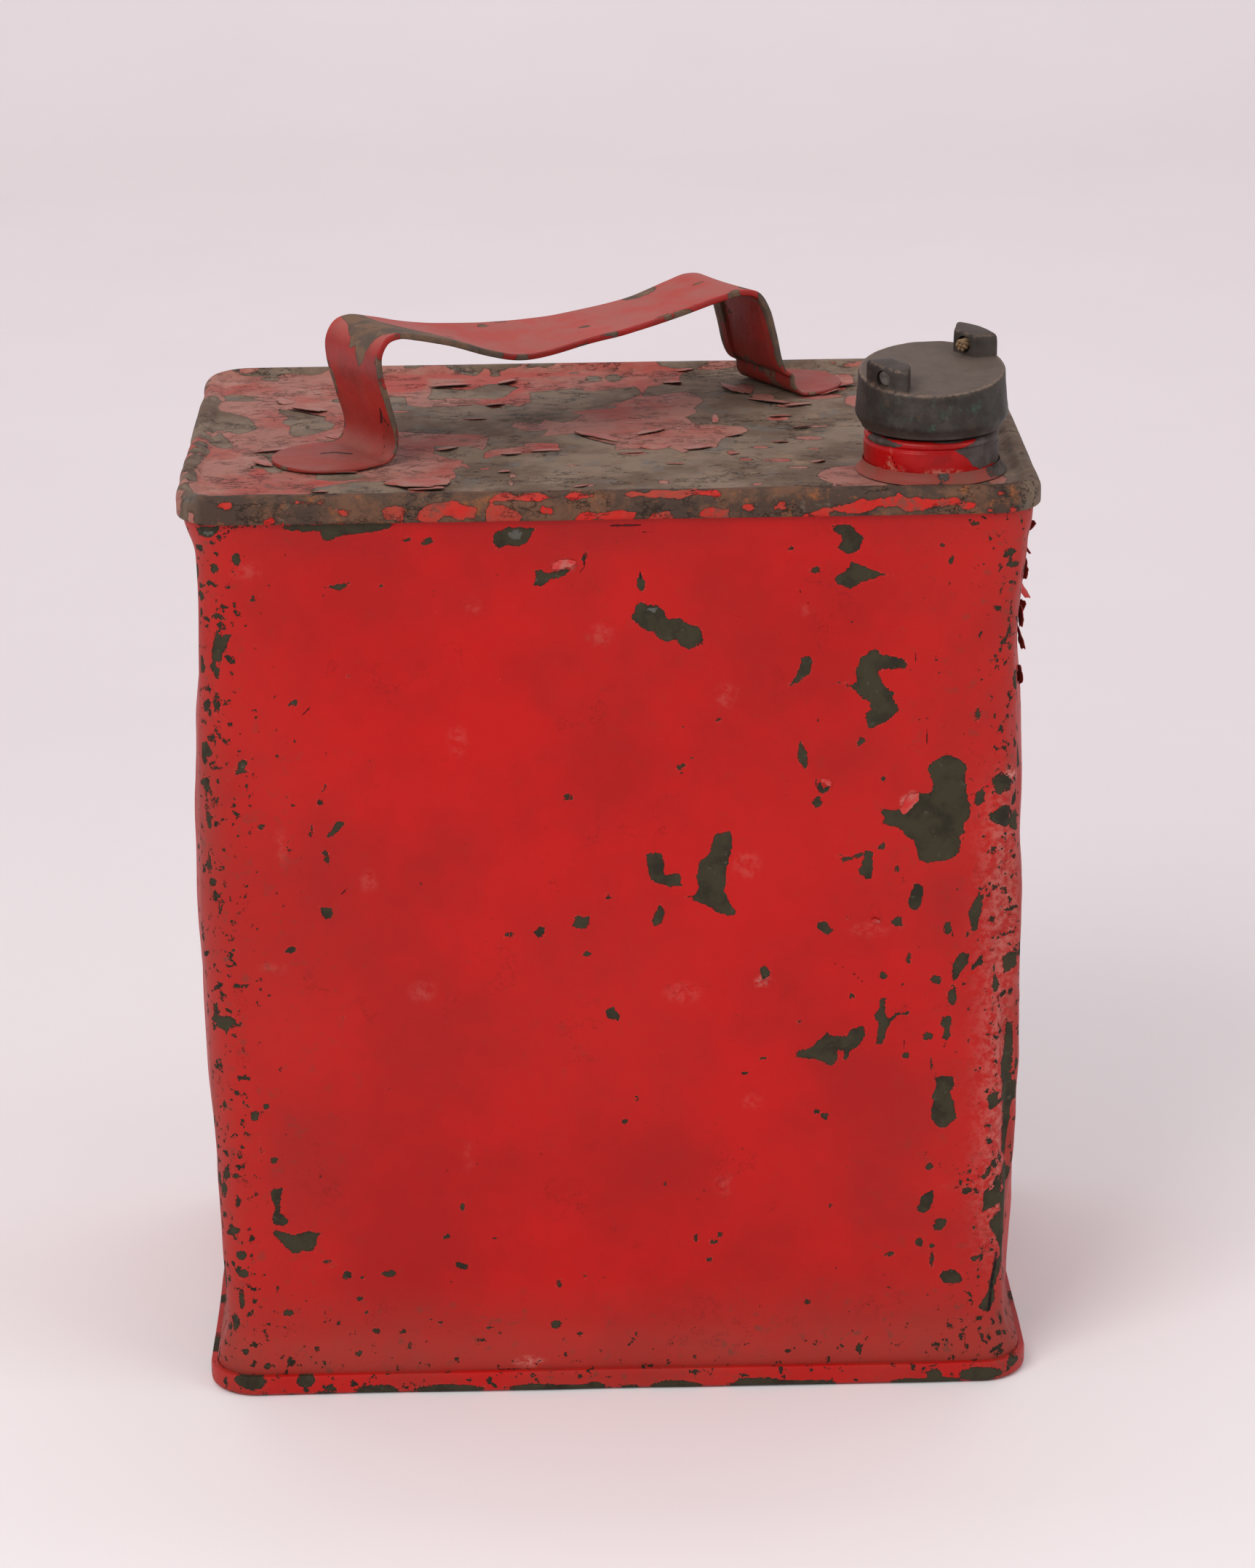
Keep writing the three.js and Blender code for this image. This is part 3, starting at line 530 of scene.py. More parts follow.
def neck_material():
    s = Shade("neck_paint")
    ragged = s.noise(1.7, 6, 0.66)
    bare_d = s.worn_edge(ragged, 0.7, 0.5, 0.12)
    bare = s.step(bare_d, -0.06, 0.06)
    gap_shadow = s.gap_shadows(1.2, -0.35, 0.35, 0.1, 0.3)
    paint = s.mix(s.spots(0.4, 0.66, 9, 5, 0.6), srgb(172, 8, 9), srgb(146, 8, 8))
    dust = s.math("ADD", s.attr("dust"), s.lerp(s.noise(5, 6, 0.7, shift=8), -0.22, 0.22), clamp=True)
    paint = s.mix(dust, paint, srgb(132, 72, 60))
    paint = s.darken(paint, s.spots(0.62, 0.74, 3, 7, 0.75, shift=17), 0.25)
    metal = s.mix(s.spots(0.4, 0.62, 6, 5, 0.62, shift=6), srgb(88, 78, 74), srgb(66, 54, 50))
    # Painted shadow: bare metal is darkened close to the paint's edge, as if shaded by the raised paint
    metal = s.darken(metal, s.inverse(s.step(bare_d, 0.05, 0.4)), 0.3)
    scratch = s.times(s.attr("pale"), s.spots(0.45, 0.6, 1.5, 5, 0.7, shift=14))
    colour = s.mix(s.times(scratch, 0.6), s.mix(bare, paint, metal), srgb(196, 140, 120))
    # Painted shadow in the cracks of the paint
    colour = s.darken(colour, gap_shadow, 0.9)
    rough = s.total(s.lerp(dust, 0.3, 0.62), s.times(bare, 0.25))
    height = s.total(s.times(bare, -0.16), s.times(gap_shadow, -0.4), s.times(s.noise(1.2, 4, 0.6, shift=40), 0.05),
                     s.times(s.noise(6, 3, 0.6, shift=41), 0.16))
    return s.finish(colour, rough, height, specular=0.22)


def cap_material():
    s = Shade("dark_bronze")
    base = s.mix(s.spots(0.36, 0.64, 9, 6, 0.65), srgb(50, 42, 38), srgb(68, 61, 56))
    base = s.mix(s.spots(0.52, 0.7, 4, 7, 0.75, shift=4, share=0.6), base, srgb(38, 31, 28))
    base = s.mix(s.spots(0.56, 0.7, 6, 6, 0.7, shift=9, share=0.45), base, srgb(92, 66, 52))
    green = s.math("MULTIPLY", s.attr("green"), s.spots(0.52, 0.7, 3.4, 6, 0.7, shift=14), clamp=True)
    base = s.mix(s.times(green, 0.5), base, srgb(66, 108, 88))
    silt = s.math("MULTIPLY", s.attr("dust"), s.lerp(s.noise(5, 7, 0.75, shift=19), 0.45, 1.15), clamp=True)
    base = s.mix(s.times(silt, 0.85), base, srgb(106, 89, 79))
    worn = s.math("MULTIPLY", s.attr("edge"), s.spots(0.4, 0.62, 1.6, 5, 0.7, shift=23), clamp=True)
    base = s.mix(s.times(worn, 0.6), base, srgb(152, 124, 104))
    base = s.darken(base, s.spots(0.56, 0.72, 1.0, 5, 0.7, shift=27), 0.35)
    rough = s.total(0.46, s.times(silt, 0.25), s.times(s.noise(3, 5, 0.7, shift=31), 0.14))
    height = s.total(
        s.times(s.noise(0.9, 5, 0.7, shift=40), 0.09), s.times(s.noise(5, 5, 0.65, shift=41), 0.3)
    )
    metal = s.lerp(silt, 0.55, 0.05)
    return s.finish(base, rough, height, metallic=metal, specular=0.5)


def plain_detail(name, dark, light, size, rough, bumps):
    s = Shade(name)
    colour = s.mix(s.spots(0.38, 0.64, size, 6, 0.7), dark, light)
    colour = s.darken(colour, s.spots(0.58, 0.74, size * 0.3, 5, 0.7, shift=5), 0.4)
    return s.finish(
        colour, s.total(rough, s.times(s.noise(size * 0.5, 4), 0.15)),
        s.times(s.noise(size * 0.25, 5, 0.7, shift=9), bumps),
    )


def flake_material():
    s = Shade("loose_paint")
    top = s.mix(s.spots(0.4, 0.62, 8, 5, 0.65), PINK, PINK_RED)
    top = s.mix(s.attr("red"), top, s.mix(s.spots(0.45, 0.7, 4, 4, 0.6, shift=3), RED, srgb(176, 84, 74)))
    under = s.mix(s.spots(0.4, 0.6, 3, 5, 0.7, shift=4), srgb(70, 56, 46), srgb(104, 82, 68))
    under = s.mix(s.times(s.attr("red"), 0.7), under, srgb(120, 44, 34))
    colour = s.mix(s.attr("under"), top, under)
    colour = s.darken(colour, s.spots(0.58, 0.75, 2, 6, 0.75, shift=17), 0.3)
    return s.finish(
        colour, s.total(0.5, s.times(s.noise(2.0, 4), 0.2)), s.times(s.noise(1.0, 5, 0.7, shift=9), 0.08)
    )


# ---- The can's outline: panels 0 front, 1 right, 2 back, 3 left ----------------------------------
NX, NY = np.array([0, 1, 0, -1.0]), np.array([-1.0, 0, 1, 0])


def outline(panel, t, turn, inset):
    """Points and outward directions at t along a panel's straight, or turn round the corner after it."""
    panel = np.asarray(panel, int)
    radius = CORNER_R - inset
    sx, sy = WIDTH / 2 - CORNER_R, DEPTH / 2 - CORNER_R
    wide = panel % 2 == 0
    nx, ny = NX[panel], NY[panel]
    along = (2 * t - 1) * np.where(wide, sx, sy)
    out = np.where(wide, sy, sx)
    a = np.arctan2(ny, nx) + turn * np.pi / 2
    return (
        nx * out - ny * along + radius * np.cos(a), ny * out + nx * along + radius * np.sin(a), np.cos(a),
        np.sin(a),
    )


def run_length(panel, t, turn):
    """Distance round the outline from the middle of the front."""
    panel = np.asarray(panel, int)
    sx, sy, arc = WIDTH - 2 * CORNER_R, DEPTH - 2 * CORNER_R, 0.5 * np.pi * SLEEVE_CORNER
    start = np.array([-sx / 2, sx / 2 + arc, sx / 2 + 2 * arc + sy, sx * 1.5 + 3 * arc + sy])[panel]
    u = start + t * np.where(panel % 2 == 0, sx, sy) + turn * arc
    whole = 2 * (sx + sy) + 4 * arc
    return (u + whole / 2) % whole - whole / 2


def sleeve_inset(panel, t, turn, z):
    """How far the sleeve stands inside the outline: least in the pans, most in the hollow of each panel."""
    end = np.minimum(z, HEIGHT - z)
    drawn = (4.8 - SKIRT - GAP) * smooth(7, 20, end)
    eased = 1.6 * smooth(20, 110, end)
    across = np.where(turn > 0, 0, 1 - (2 * t - 1) ** 4)
    bow = np.where(np.asarray(panel) % 2 == 0, 2.2, 1.6) * across * smooth(20, 110, end)
    return SKIRT + GAP + drawn - eased - bow


def dents(p, u, z):
    """How far the sheet has been pushed out (positive) or in, in mm."""
    d = 0.55 * fbm(p, 75, 11) + 0.12 * fbm(p, 24, 15, 2)
    right = np.exp(-(((u - 124) / 16) ** 2))
    d += right * (2.2 * fbm(p * [1, 1, 0.45], 17, 21, 3) - 1.1)
    d -= (
        1.6 * np.exp(-(((u - 119 - 3 * np.sin(z / 31)) / 3.4) ** 2)) * smooth(28, 60, z)
        * (1 - smooth(150, 190, z))
    )
    d -= 1.2 * np.exp(-(((u - 112) / 4) ** 2 + ((z - 205) / 32) ** 2))
    left = np.exp(-(((u + 142) / 24) ** 2))
    d += left * (1.6 * fbm(p * [1, 1, 0.5], 30, 31, 3) - 0.6)
    d += 0.5 * fbm(p * [1, 1, 0.6], 38, 35, 2) * smooth(40, 90, z) * (1 - smooth(200, 250, z))
    return d * smooth(7, 17, np.minimum(z, HEIGHT - z))


# Paint chips on the front: ovals (x, height, half width, half height) or outlines (x, height, x, height, ...)
CHIPS = [
    (
        64, 271, 68, 271, 70, 270, 72.5, 267, 72, 264, 70, 262.5, 68, 262, 64.5, 264.5, 67, 266.5, 66, 268,
        64, 269,
    ),
    (
        69, 260, 73, 258.5, 78.5, 256, 83.5, 255.3, 78, 255.2, 72, 253.5, 69, 251.5, 65, 253.5, 64, 255,
        68, 257.5,
    ),
    (51.8, 264, 0.9, 0.8), (59, 257.5, 1.7, 1.1), (115, 262, 1.6, 1.4), (115.7, 258.5, 1.8, 1.2),
    (115.7, 252.8, 1.2, 0.8), (102, 272, 104, 272, 106.5, 270.5, 105, 269.5, 103, 270.5),
    (98, 260, 0.9, 1.4), (95.4, 264.3, 0.9, 0.8), (8.5, 257.5, 10, 255, 9.5, 252, 8.5, 252, 7.2, 253.4),
    (115, 238, 0.8, 1.6), (115.3, 234, 0.7, 1.4),
    (
        7.5, 249, 11, 248, 13, 248.2, 15.5, 246, 16.3, 243.7, 20.5, 243.8, 22.5, 241.8, 25, 241.3,
        26.3, 240, 26.8, 235.5, 25, 235.8, 23, 233.8, 20, 235.5, 18.5, 237.5, 16, 236.5, 13, 238,
        12.5, 239.5, 9, 240.8, 5.8, 244.2, 6.5, 246,
    ),
    (57.5, 232, 58.2, 230, 57.5, 226.5, 55, 225, 54.5, 223.8, 51, 222.5, 53, 224.8, 55, 230, 54.5, 231.8),
    (
        77, 233.8, 77.5, 232, 84, 230.8, 86, 228.5, 84.5, 227, 76.5, 227.5, 78, 225, 79, 222, 82, 220.5,
        81.5, 218, 83.8, 215.5, 82, 213.3, 79.5, 211.2, 76.5, 210, 74.8, 208.8, 73.5, 212.5, 73, 214.5,
        75.5, 214.8, 74.5, 217.5, 71.5, 219.5, 70, 221.5, 64.5, 224, 71, 222.8, 70.5, 227, 72, 230.5,
        74.5, 233,
    ),
    (72, 207.5, 74, 205.8, 72, 204.2, 71, 203, 71.5, 206),
    (54.5, 206, 56.8, 203, 57.2, 198.5, 56, 197.2, 53.5, 200.5),
    (59, 194.8, 61.5, 191.5, 63.6, 192.2, 63.6, 190.8, 61, 189.6, 59.4, 191),
    (59, 189.2, 61, 188, 61.5, 186, 59.5, 185.2, 57.8, 187),
    (
        97.5, 201.5, 102, 199, 103.5, 197, 102.8, 194, 103.8, 187.5, 104.8, 182, 102.5, 179.2, 103, 177,
        101.5, 175.5, 102, 172, 101, 169.8, 98.5, 168.5, 92, 167.5, 89.7, 168.2, 88.2, 174, 83, 178.8,
        78, 180, 79.5, 182, 77, 184.8, 84.5, 184.2, 86.5, 185.2, 88.5, 189.8, 92.5, 188.8, 93.5, 191,
        91.8, 197, 93, 199, 95.5, 200,
    ),
    (113, 196.2, 116.5, 193, 117, 191.5, 115, 190.5, 113, 188.2, 111.5, 189.5, 110.5, 193.8, 112.5, 194.5),
    (119, 185.2, 120.5, 184.5, 121, 181.5, 119, 177.2, 116.2, 178, 115.5, 180.5, 117, 183.5),
    (106, 216, 107, 214.5, 106.8, 212, 105.5, 210.5, 105, 213),
    (116, 225, 118, 225.5, 117.5, 222, 118.5, 219, 116.5, 221), (119.8, 221.8, 0.8, 2.8),
    (120.3, 213.8, 1.2, 3.3), (79, 194, 0.9, 0.8), (83.2, 166, 0.9, 1.5), (69.3, 151.2, 0.8, 0.9),
    (
        34.5, 178.8, 35, 174.2, 34.5, 172.5, 33, 166, 32.5, 160, 34.5, 155.2, 36, 154.5, 35.5, 152.2,
        34, 152, 30, 153.5, 27, 155.5, 20.5, 158.2, 24, 159.2, 24.8, 161.8, 23.8, 164, 25, 167, 24.5, 169,
        28, 171.5, 29.5, 178, 31.5, 178,
    ),
    (
        9.2, 171, 10.5, 172.5, 14.3, 172.2, 15, 168, 14.5, 166, 16, 165.3, 19, 166, 20, 164.8, 19.5, 163,
        20.5, 162, 17.5, 161.2, 13, 162.5, 10.5, 164.5, 10, 167,
    ),
    (13.5, 156.2, 15, 154, 14, 150, 12.3, 149, 11, 150, 11.5, 153), (31, 213, 1.1, 0.8),
    (98.3, 147, 1.3, 2.1), (73, 168.5, 74, 172, 76, 171.5, 76.2, 163, 74, 162.8, 71.5, 165),
    (64.5, 170.5, 69, 170, 73, 171.5, 72.5, 169.5, 67.5, 168.2),
    (77.5, 172.8, 79.5, 174.8, 80, 172.5, 78, 171.5),
    (88.5, 161.5, 91, 160.5, 91, 156, 90, 153, 87, 153.3, 86.5, 156),
    (84.5, 151.5, 85, 148.5, 84.5, 147.2, 81, 149.2, 82.5, 150.5),
    (59.5, 149.5, 62, 150, 65, 147, 63, 145.5, 60, 147.5),
    (107.5, 158.5, 109, 157, 107.8, 150, 107, 146, 105.5, 146, 104.2, 152),
    (20, 211.8, 23.2, 209.8, 20, 210.3), (18.5, 200, 21.5, 199.5, 20, 197.8, 18.8, 197.5),
    (21.5, 201.8, 24.5, 202.2, 23, 200.8), (-120.5, 268.5, -116.2, 268, -116.5, 266.5, -119, 266.5),
    (-107, 263.5, 1.4, 2.1), (-118.5, 260, 0.8, 0.8), (-118, 256, 1.7, 1), (-117.8, 252.8, 1.3, 1.4),
    (-119.2, 251, 0.8, 0.8), (-118, 248, 0.9, 1.4), (-119.8, 243, 1, 0.8),
    (-115.5, 246.5, -113, 248, -110, 245.7, -112, 245.5), (-119.5, 237.5, 0.8, 1.2),
    (-118.8, 233.5, 1.3, 1.7),
    (-116.5, 231.5, -114.8, 233.5, -113.2, 231, -113, 228, -114.5, 227.3, -115, 230),
    (-114.3, 220.5, 1, 3.3),
    (-119.5, 208.5, -117.5, 209, -115.8, 204.5, -118, 204, -117.2, 202, -118.8, 201.5, -119.8, 205.5),
    (
        -119.8, 197.8, -117.5, 198, -117, 195, -118, 192.5, -117, 181.5, -118.2, 181.8, -118.8, 187,
        -118.6, 193,
    ),
    (-117.5, 165.5, 1.2, 1.4), (-118.4, 171, 0.8, 3), (-116.3, 161.5, 1.5, 1), (-114.8, 169.7, 1, 1),
    (-102.5, 236.5, 0.7, 1), (-93.5, 220.5, -90, 221.5, -91.5, 219.5, -93.8, 219.4), (-76, 228, 0.5, 0.9),
    (-102.5, 251.5, 1.1, 0.9), (-50, 247, 0.5, 0.6),
    (-83.5, 255, -80, 255.3, -74.3, 256.3, -76, 254.6, -78, 253.3, -80, 254.3), (-66, 255, 0.8, 0.5),
    (-54.5, 267.5, -52.5, 269, -50.5, 269, -51.2, 267.3, -53, 266.5), (-58.5, 268.5, 1.3, 0.8),
    (
        -33, 270.5, -29, 271.8, -21.5, 271.5, -22.5, 269, -24, 266.5, -27, 265.8, -29.5, 266.5, -32, 265,
        -33.5, 267.5,
    ),
    (
        -22, 258.5, -20.5, 259.3, -18, 258, -12.5, 259.3, -11.2, 258.8, -14, 256.5, -17, 256, -19, 254.2,
        -22.5, 254, -21.2, 256.5,
    ),
    (-8.6, 262, -7, 264.5, -6, 263.5, -7.2, 261), (-85, 193, -83.8, 195.5, -83, 195, -84, 192),
    (-85.4, 189.8, 1.1, 1.1), (-78, 183.5, -80.5, 184, -83, 180.5, -84.5, 178.3, -82, 179, -79, 182),
    (-90, 179, -88, 182.5, -87.5, 180, -88.5, 178.5), (-103, 182.5, 1.3, 0.9), (-84, 172, 0.9, 1.7),
    (-84.8, 174.5, 0.6, 0.9), (-51.5, 189.5, 0.7, 0.5), (-13.3, 190, 1.7, 1.1),
    (-86.8, 157.5, -83, 156.8, -82.5, 155, -83.5, 153.2, -85.5, 153.5),
    (-97.3, 143, -96, 144.8, -94, 145, -94, 142.8),
    (-24, 148, -22.5, 150, -20.8, 149.8, -20.5, 147.5, -22, 145.8),
    (-11.5, 153, -7.5, 152.5, -7, 150.5, -8.8, 148.3, -12.8, 150),
    (-3.5, 159, -2, 160, -0.5, 158.5, -2, 157.8), (-31, 147.5, 1.6, 0.9),
    (-2.5, 124, -0.5, 124, 1.3, 121.5, 1, 119.5, -3, 120.5), (-8, 140.8, 1.3, 1), (-80.8, 122.8, 0.7, 0.5),
    (-112, 97.3, -110.5, 96, -109.3, 94.5, -110, 93.8, -111.5, 95.5),
    (-108.8, 93.5, -106.9, 93, -106.7, 90, -108, 89, -109.3, 89.8), (-104.3, 94.3, 1.1, 1.1),
    (-102.7, 76.8, 1.3, 1.3), (-107.3, 85.5, -106.5, 84, -106.8, 81.5, -105.5, 80, -106, 78, -107.5, 82),
    (
        -103.8, 68, -100.3, 68, -101, 65, -101.3, 60, -98.8, 57, -100, 54.8, -103, 55.8, -104, 57.5,
        -103, 60.5, -104, 64.5,
    ),
    (
        -103, 54.5, -98, 52.2, -93, 53.6, -91, 52.8, -89.5, 53, -90.5, 50.5, -92, 46.5, -94.8, 47.2,
        -97, 46, -98.5, 46.4, -101.5, 50.2, -104.5, 52.5,
    ),
    (-88, 43.2, 1.5, 0.8), (-82, 38.6, 1.5, 1.6), (-69, 39, 2.3, 1.3), (-77.3, 37.8, 0.8, 0.8),
    (-86, 42, 0.7, 0.6), (-50, 43.8, -49, 42.5, -46.5, 42.3, -45, 41, -45.5, 39.7, -47.5, 39.6, -49.3, 41),
    (-46.5, 60.5, 0.9, 1.4), (-51.5, 50.8, 1.1, 0.9), (-18, 34.5, 1, 1.5), (-10.5, 37, 0.7, 1.3),
    (-100, 26.6, 1.8, 1.2), (-78.5, 30.8, 1.1, 1), (-76.5, 26.5, 0.8, 0.7), (-73.5, 20, 1.4, 1.1),
    (-65.8, 19.7, 1.3, 0.9), (-80.3, 19.7, 0.8, 0.6), (-64, 14.5, 1.5, 0.9), (-79.2, 12.6, 1.2, 1.1),
    (-39.2, 20.5, 1.1, 0.7), (-19, 21, 2, 1.4), (-12, 18, 1.1, 0.8), (-54, 22.5, 0.8, 0.8),
    (-53.8, 17.5, 0.5, 0.5), (-113.5, 46, 1.7, 1.7), (-113.2, 40, 1.9, 1.5), (-114, 32, 0.9, 4),
    (-116, 24, 1.1, 3), (-115.5, 54, 2.4, 1.3), (-118, 68, 1, 3), (-114, 72, 1.6, 0.9),
    (-118.2, 125.5, 0.8, 2), (-107, 9, 1.1, 1.2), (-10.5, 5.5, 1, 0.8),
    (42.8, 136.2, 44.5, 136.5, 46, 134.5, 45.5, 132.2, 43.5, 132, 43, 134),
    (77.8, 134.5, 81, 133.2, 80.8, 131.3, 78.5, 131.2),
    (
        78.5, 125.5, 80.5, 125.2, 80, 121, 81, 118.8, 84, 121, 87.5, 121.3, 87, 119.7, 84.5, 120,
        81.5, 117.5, 80, 113, 79, 110, 77.3, 110.5, 78, 118, 76.5, 119.2, 78.2, 122.5,
    ),
    (
        62.5, 115.5, 63.5, 113.8, 68.5, 113.2, 70, 115.5, 73, 117, 74.3, 116, 74, 112.5, 72.5, 110.3,
        70, 108.8, 69, 106, 67.8, 105.8, 68, 107.8, 67, 109.8, 66, 109, 66, 106, 64.5, 103.7, 59.5, 106.2,
        53.8, 106.8, 53, 108, 54.5, 109.2, 59, 110.3, 60, 112.3, 62, 113.5,
    ),
    (
        94, 107, 95, 104.5, 95, 100, 100.5, 100, 101, 97, 99.8, 94.5, 101, 92, 101.8, 86, 99.5, 84,
        97.8, 83.2, 95.5, 84, 94, 87, 94.5, 94, 95.5, 97, 93.5, 103,
    ),
    (
        97, 119.3, 99.5, 119.5, 100.2, 117, 99.2, 115, 100, 112.5, 98.5, 111, 96.8, 112, 97.8, 114.5,
        96.6, 117,
    ),
    (101.5, 138.5, 103, 139.5, 105, 138.8, 104.5, 136, 102, 132.5, 101, 130, 99.8, 131, 100, 136),
    (100, 125.5, 1.4, 3.3), (95.2, 130.8, 1.8, 1.5), (92.8, 113, 2, 1.4), (86.5, 107, 1.3, 1.3),
    (86.8, 138, 0.9, 1.8),
    (
        116, 117, 118, 117, 118.5, 108, 117.8, 100, 119, 97, 119, 90, 118.6, 86, 118.8, 82, 117.5, 79,
        116.5, 74, 115.2, 75.5, 115.5, 85, 115, 98, 114.8, 104, 115.5, 110,
    ),
    (110.5, 93, 113, 95, 114.5, 94.5, 114, 91, 113, 89, 111.5, 89),
    (
        116.5, 73, 119.5, 73, 121, 68, 122, 58, 121.5, 54, 120, 50, 117.5, 42, 117, 38, 115.3, 39,
        115.5, 43, 113.5, 48, 111.8, 52.5, 115, 56, 115.8, 63, 115.5, 70,
    ),
    (115.5, 42, 116, 38, 113.8, 30, 114.5, 27, 112.2, 22, 109, 24, 112, 29, 113.5, 37),
    (114.5, 137.5, 116.5, 139.5, 119, 139, 119, 135, 116, 132.3, 114.8, 134.5),
    (112.2, 134.5, 114, 128.5, 112.8, 126, 111.8, 127), (121.8, 134.5, 1.5, 5), (122.6, 103, 1.3, 9),
    (122.5, 78, 1.2, 6), (92, 61.8, 95.5, 63.5, 95.2, 60, 94.5, 57.5, 93, 55.5, 89.7, 56.5),
    (95, 53, 97, 53.8, 99.5, 53.5, 99, 51.5, 97, 49.5, 95.2, 50),
    (97, 34.5, 98.5, 36.5, 101.5, 37, 103.5, 35.5, 104.3, 33.5, 103.8, 32, 99, 32.2),
    (105.3, 62.7, 1.8, 1.2), (93.8, 70.8, 1.1, 1.5), (82, 42.3, 1.6, 0.9), (94.8, 40.5, 0.8, 2.6),
    (95, 44.5, 1, 1), (91, 46, 1.3, 1.6), (57.3, 27, 1.4, 0.9), (62.3, 87.8, 1.3, 1.3),
    (59.8, 89.5, 1, 1.2), (27.5, 41.5, 0.8, 1.3), (23.5, 49, 0.9, 1.2), (29, 47.5, 1.5, 0.8),
    (30.8, 50, 0.9, 1), (5, 17.3, 1.2, 0.9), (2.5, 87.2, 1.2, 1.1), (6, 94.6, 0.8, 0.9),
    (38.3, 102.2, 1.1, 0.8), (43.8, 106.8, 1, 0.5), (73, 11, 0.9, 2.3), (69, 70.6, 0.8, 0.8),
    (54.5, 118.5, 0.7, 0.6), (70, 126, 1, 1), (64, 58.5, 0.6, 1.3),
    (103, 20.4, 106.5, 20.3, 106.5, 19.2, 103.2, 19.2), (115.5, 15.5, 1.1, 1.1),
    (120.5, 208, 121, 200, 120.3, 194, 118.5, 187, 116.3, 184.5, 116.5, 187, 118.5, 193, 119.5, 200),
]
# Where the chips are down to grey metal
METAL_SPOTS = [
    (-27, 269.5, 3.5, 2.2), (-21, 255.5, 1.2, 1.2), (-114.5, 271.5, 3.4, 1.6), (12, 246.5, 3, 1.6),
    (-107, 264.5, 1.3, 1),
]
# The dark torn edge of the paint under the top rim
TORN = [
    (
        -94.5, 273.4, -93, 272, -88, 271.3, -83, 271.5, -82, 268.3, -80, 268.5, -78, 269.8, -72, 270.5,
        -66, 271.2, -61, 272.7, -61, 274,
    ),
    (-118, 273.6, -112, 273.5, -111, 272, -115, 269.7, -117.8, 270.6),
    (-111, 272.6, -97, 273, -97, 274, -111, 274),
]
# Cracks and slits: half width, then points
CRACKS = [
    (0.5, -8, 264, -7.2, 261, -8.6, 257.5), (0.4, 8.6, 258, 8.4, 255),
    (0.35, 54, 252.5, 55.5, 249.5, 57, 247.5), (0.3, 29, 246, 38, 244), (0.3, 34, 245.5, 35, 242.5),
    (0.4, 91, 211, 92, 203, 92.2, 198), (0.35, 84, 217, 87, 214, 90, 211), (0.3, 88, 232, 88.3, 226),
    (0.3, 82.5, 241, 84, 237), (0.3, 80, 254, 73, 257), (0.3, 104, 258, 107, 256),
    (0.35, 109, 233, 109.5, 229), (0.3, 41, 233, 43.5, 232.6), (0.35, -87, 219, -90, 216),
    (0.3, -24, 175, -20, 172), (0.45, -78.3, 163.3, -79, 161.8, -80.5, 161),
    (0.35, -40.5, 6, -34, 6.5, -28, 6.6), (0.35, -101, 9.2, -95, 9.4),
    (0.35, 58, 140.5, 66, 136, 71, 133, 75, 129), (0.3, 30.5, 136, 31.8, 131.5), (0.3, 50, 126, 47.5, 123),
    (0.35, 86, 154, 84.6, 151), (0.35, 85.5, 113, 86.2, 108), (0.35, -2.3, 127, -2.4, 123),
    (0.4, 78.2, 128, 78.8, 125), (0.6, 114.5, 42, 113.2, 33, 112.4, 23), (0.35, -65.5, 108, -66.5, 106.5),
    (0.5, 0, 271.7, 9, 271.9), (0.3, 9, 269.7, 13, 269.4), (0.3, -44, 177, -42.5, 175),
    (0.3, 105, 16, 105.5, 10),
]
# Pale scuffs: the first five are strong, the rest faint
PALES = [
    (87, 186, 2.5, 3), (116.5, 194.5, 1.6, 2), (44, 131.5, 1.6, 1.1), (-27.5, 8.8, 2.6, 0.9),
    (-13.5, 259.8, 2.2, 1.2), (-45, 208, 2.2, 4), (-104, 260, 4, 2), (-40, 248.5, 2.4, 2),
    (-3, 239, 3.5, 3), (33, 220, 3, 3.4), (56, 245.5, 1.6, 1.2), (-44.5, 77, 1, 3), (39, 168, 4, 4),
    (-97, 176, 1.4, 4), (-72, 165, 2.5, 3), (20, 128, 5, 3), (-57, 130, 3.5, 3), (32, 66, 3, 3),
    (40, 93, 3, 2), (84, 148.5, 1.2, 1), (104, 64, 4, 0.6), (75, 147, 5, 2), (-101, 138, 3, 1.3),
]


def seen_from_front(x, y, z):
    """Where a point shows on the front, to a viewer in front of the can and a little above it."""
    back = y + FRONT_WALL
    return x - back * (x + VIEW_LEFT) / VIEW_FAR, z + back * (VIEW_RISE - z / VIEW_FAR)


def random_ovals(rng, count, low, high, size, near_edges=0.0):
    """Seeded chips between two corners of the unrolled side, small ones most common."""
    made = []
    for _ in range(count):
        x, y = rng.uniform(low[0], high[0]), rng.uniform(low[1], high[1])
        if rng.random() < near_edges:
            x = low[0] + (high[0] - low[0]) * rng.choice([rng.random() ** 2.5, 1 - rng.random() ** 2.5])
        r = size * rng.random() ** 3.2 + 0.5
        if r < 1.3:
            made.append((x, y, r * rng.uniform(0.6, 1.2), r * rng.uniform(0.7, 1.7)))
            continue
        wide, tall, lean = r * rng.uniform(0.6, 1.2), r * rng.uniform(0.7, 1.6), rng.uniform(-0.6, 0.6)
        around = np.sort(rng.uniform(0, 2 * np.pi, 11))
        far = rng.uniform(0.35, 1.45, 11)
        edge_x, edge_y = wide * far * np.cos(around), tall * far * np.sin(around)
        made.append(tuple(np.stack([x + edge_x + lean * edge_y, y + edge_y], -1).ravel()))
    return made


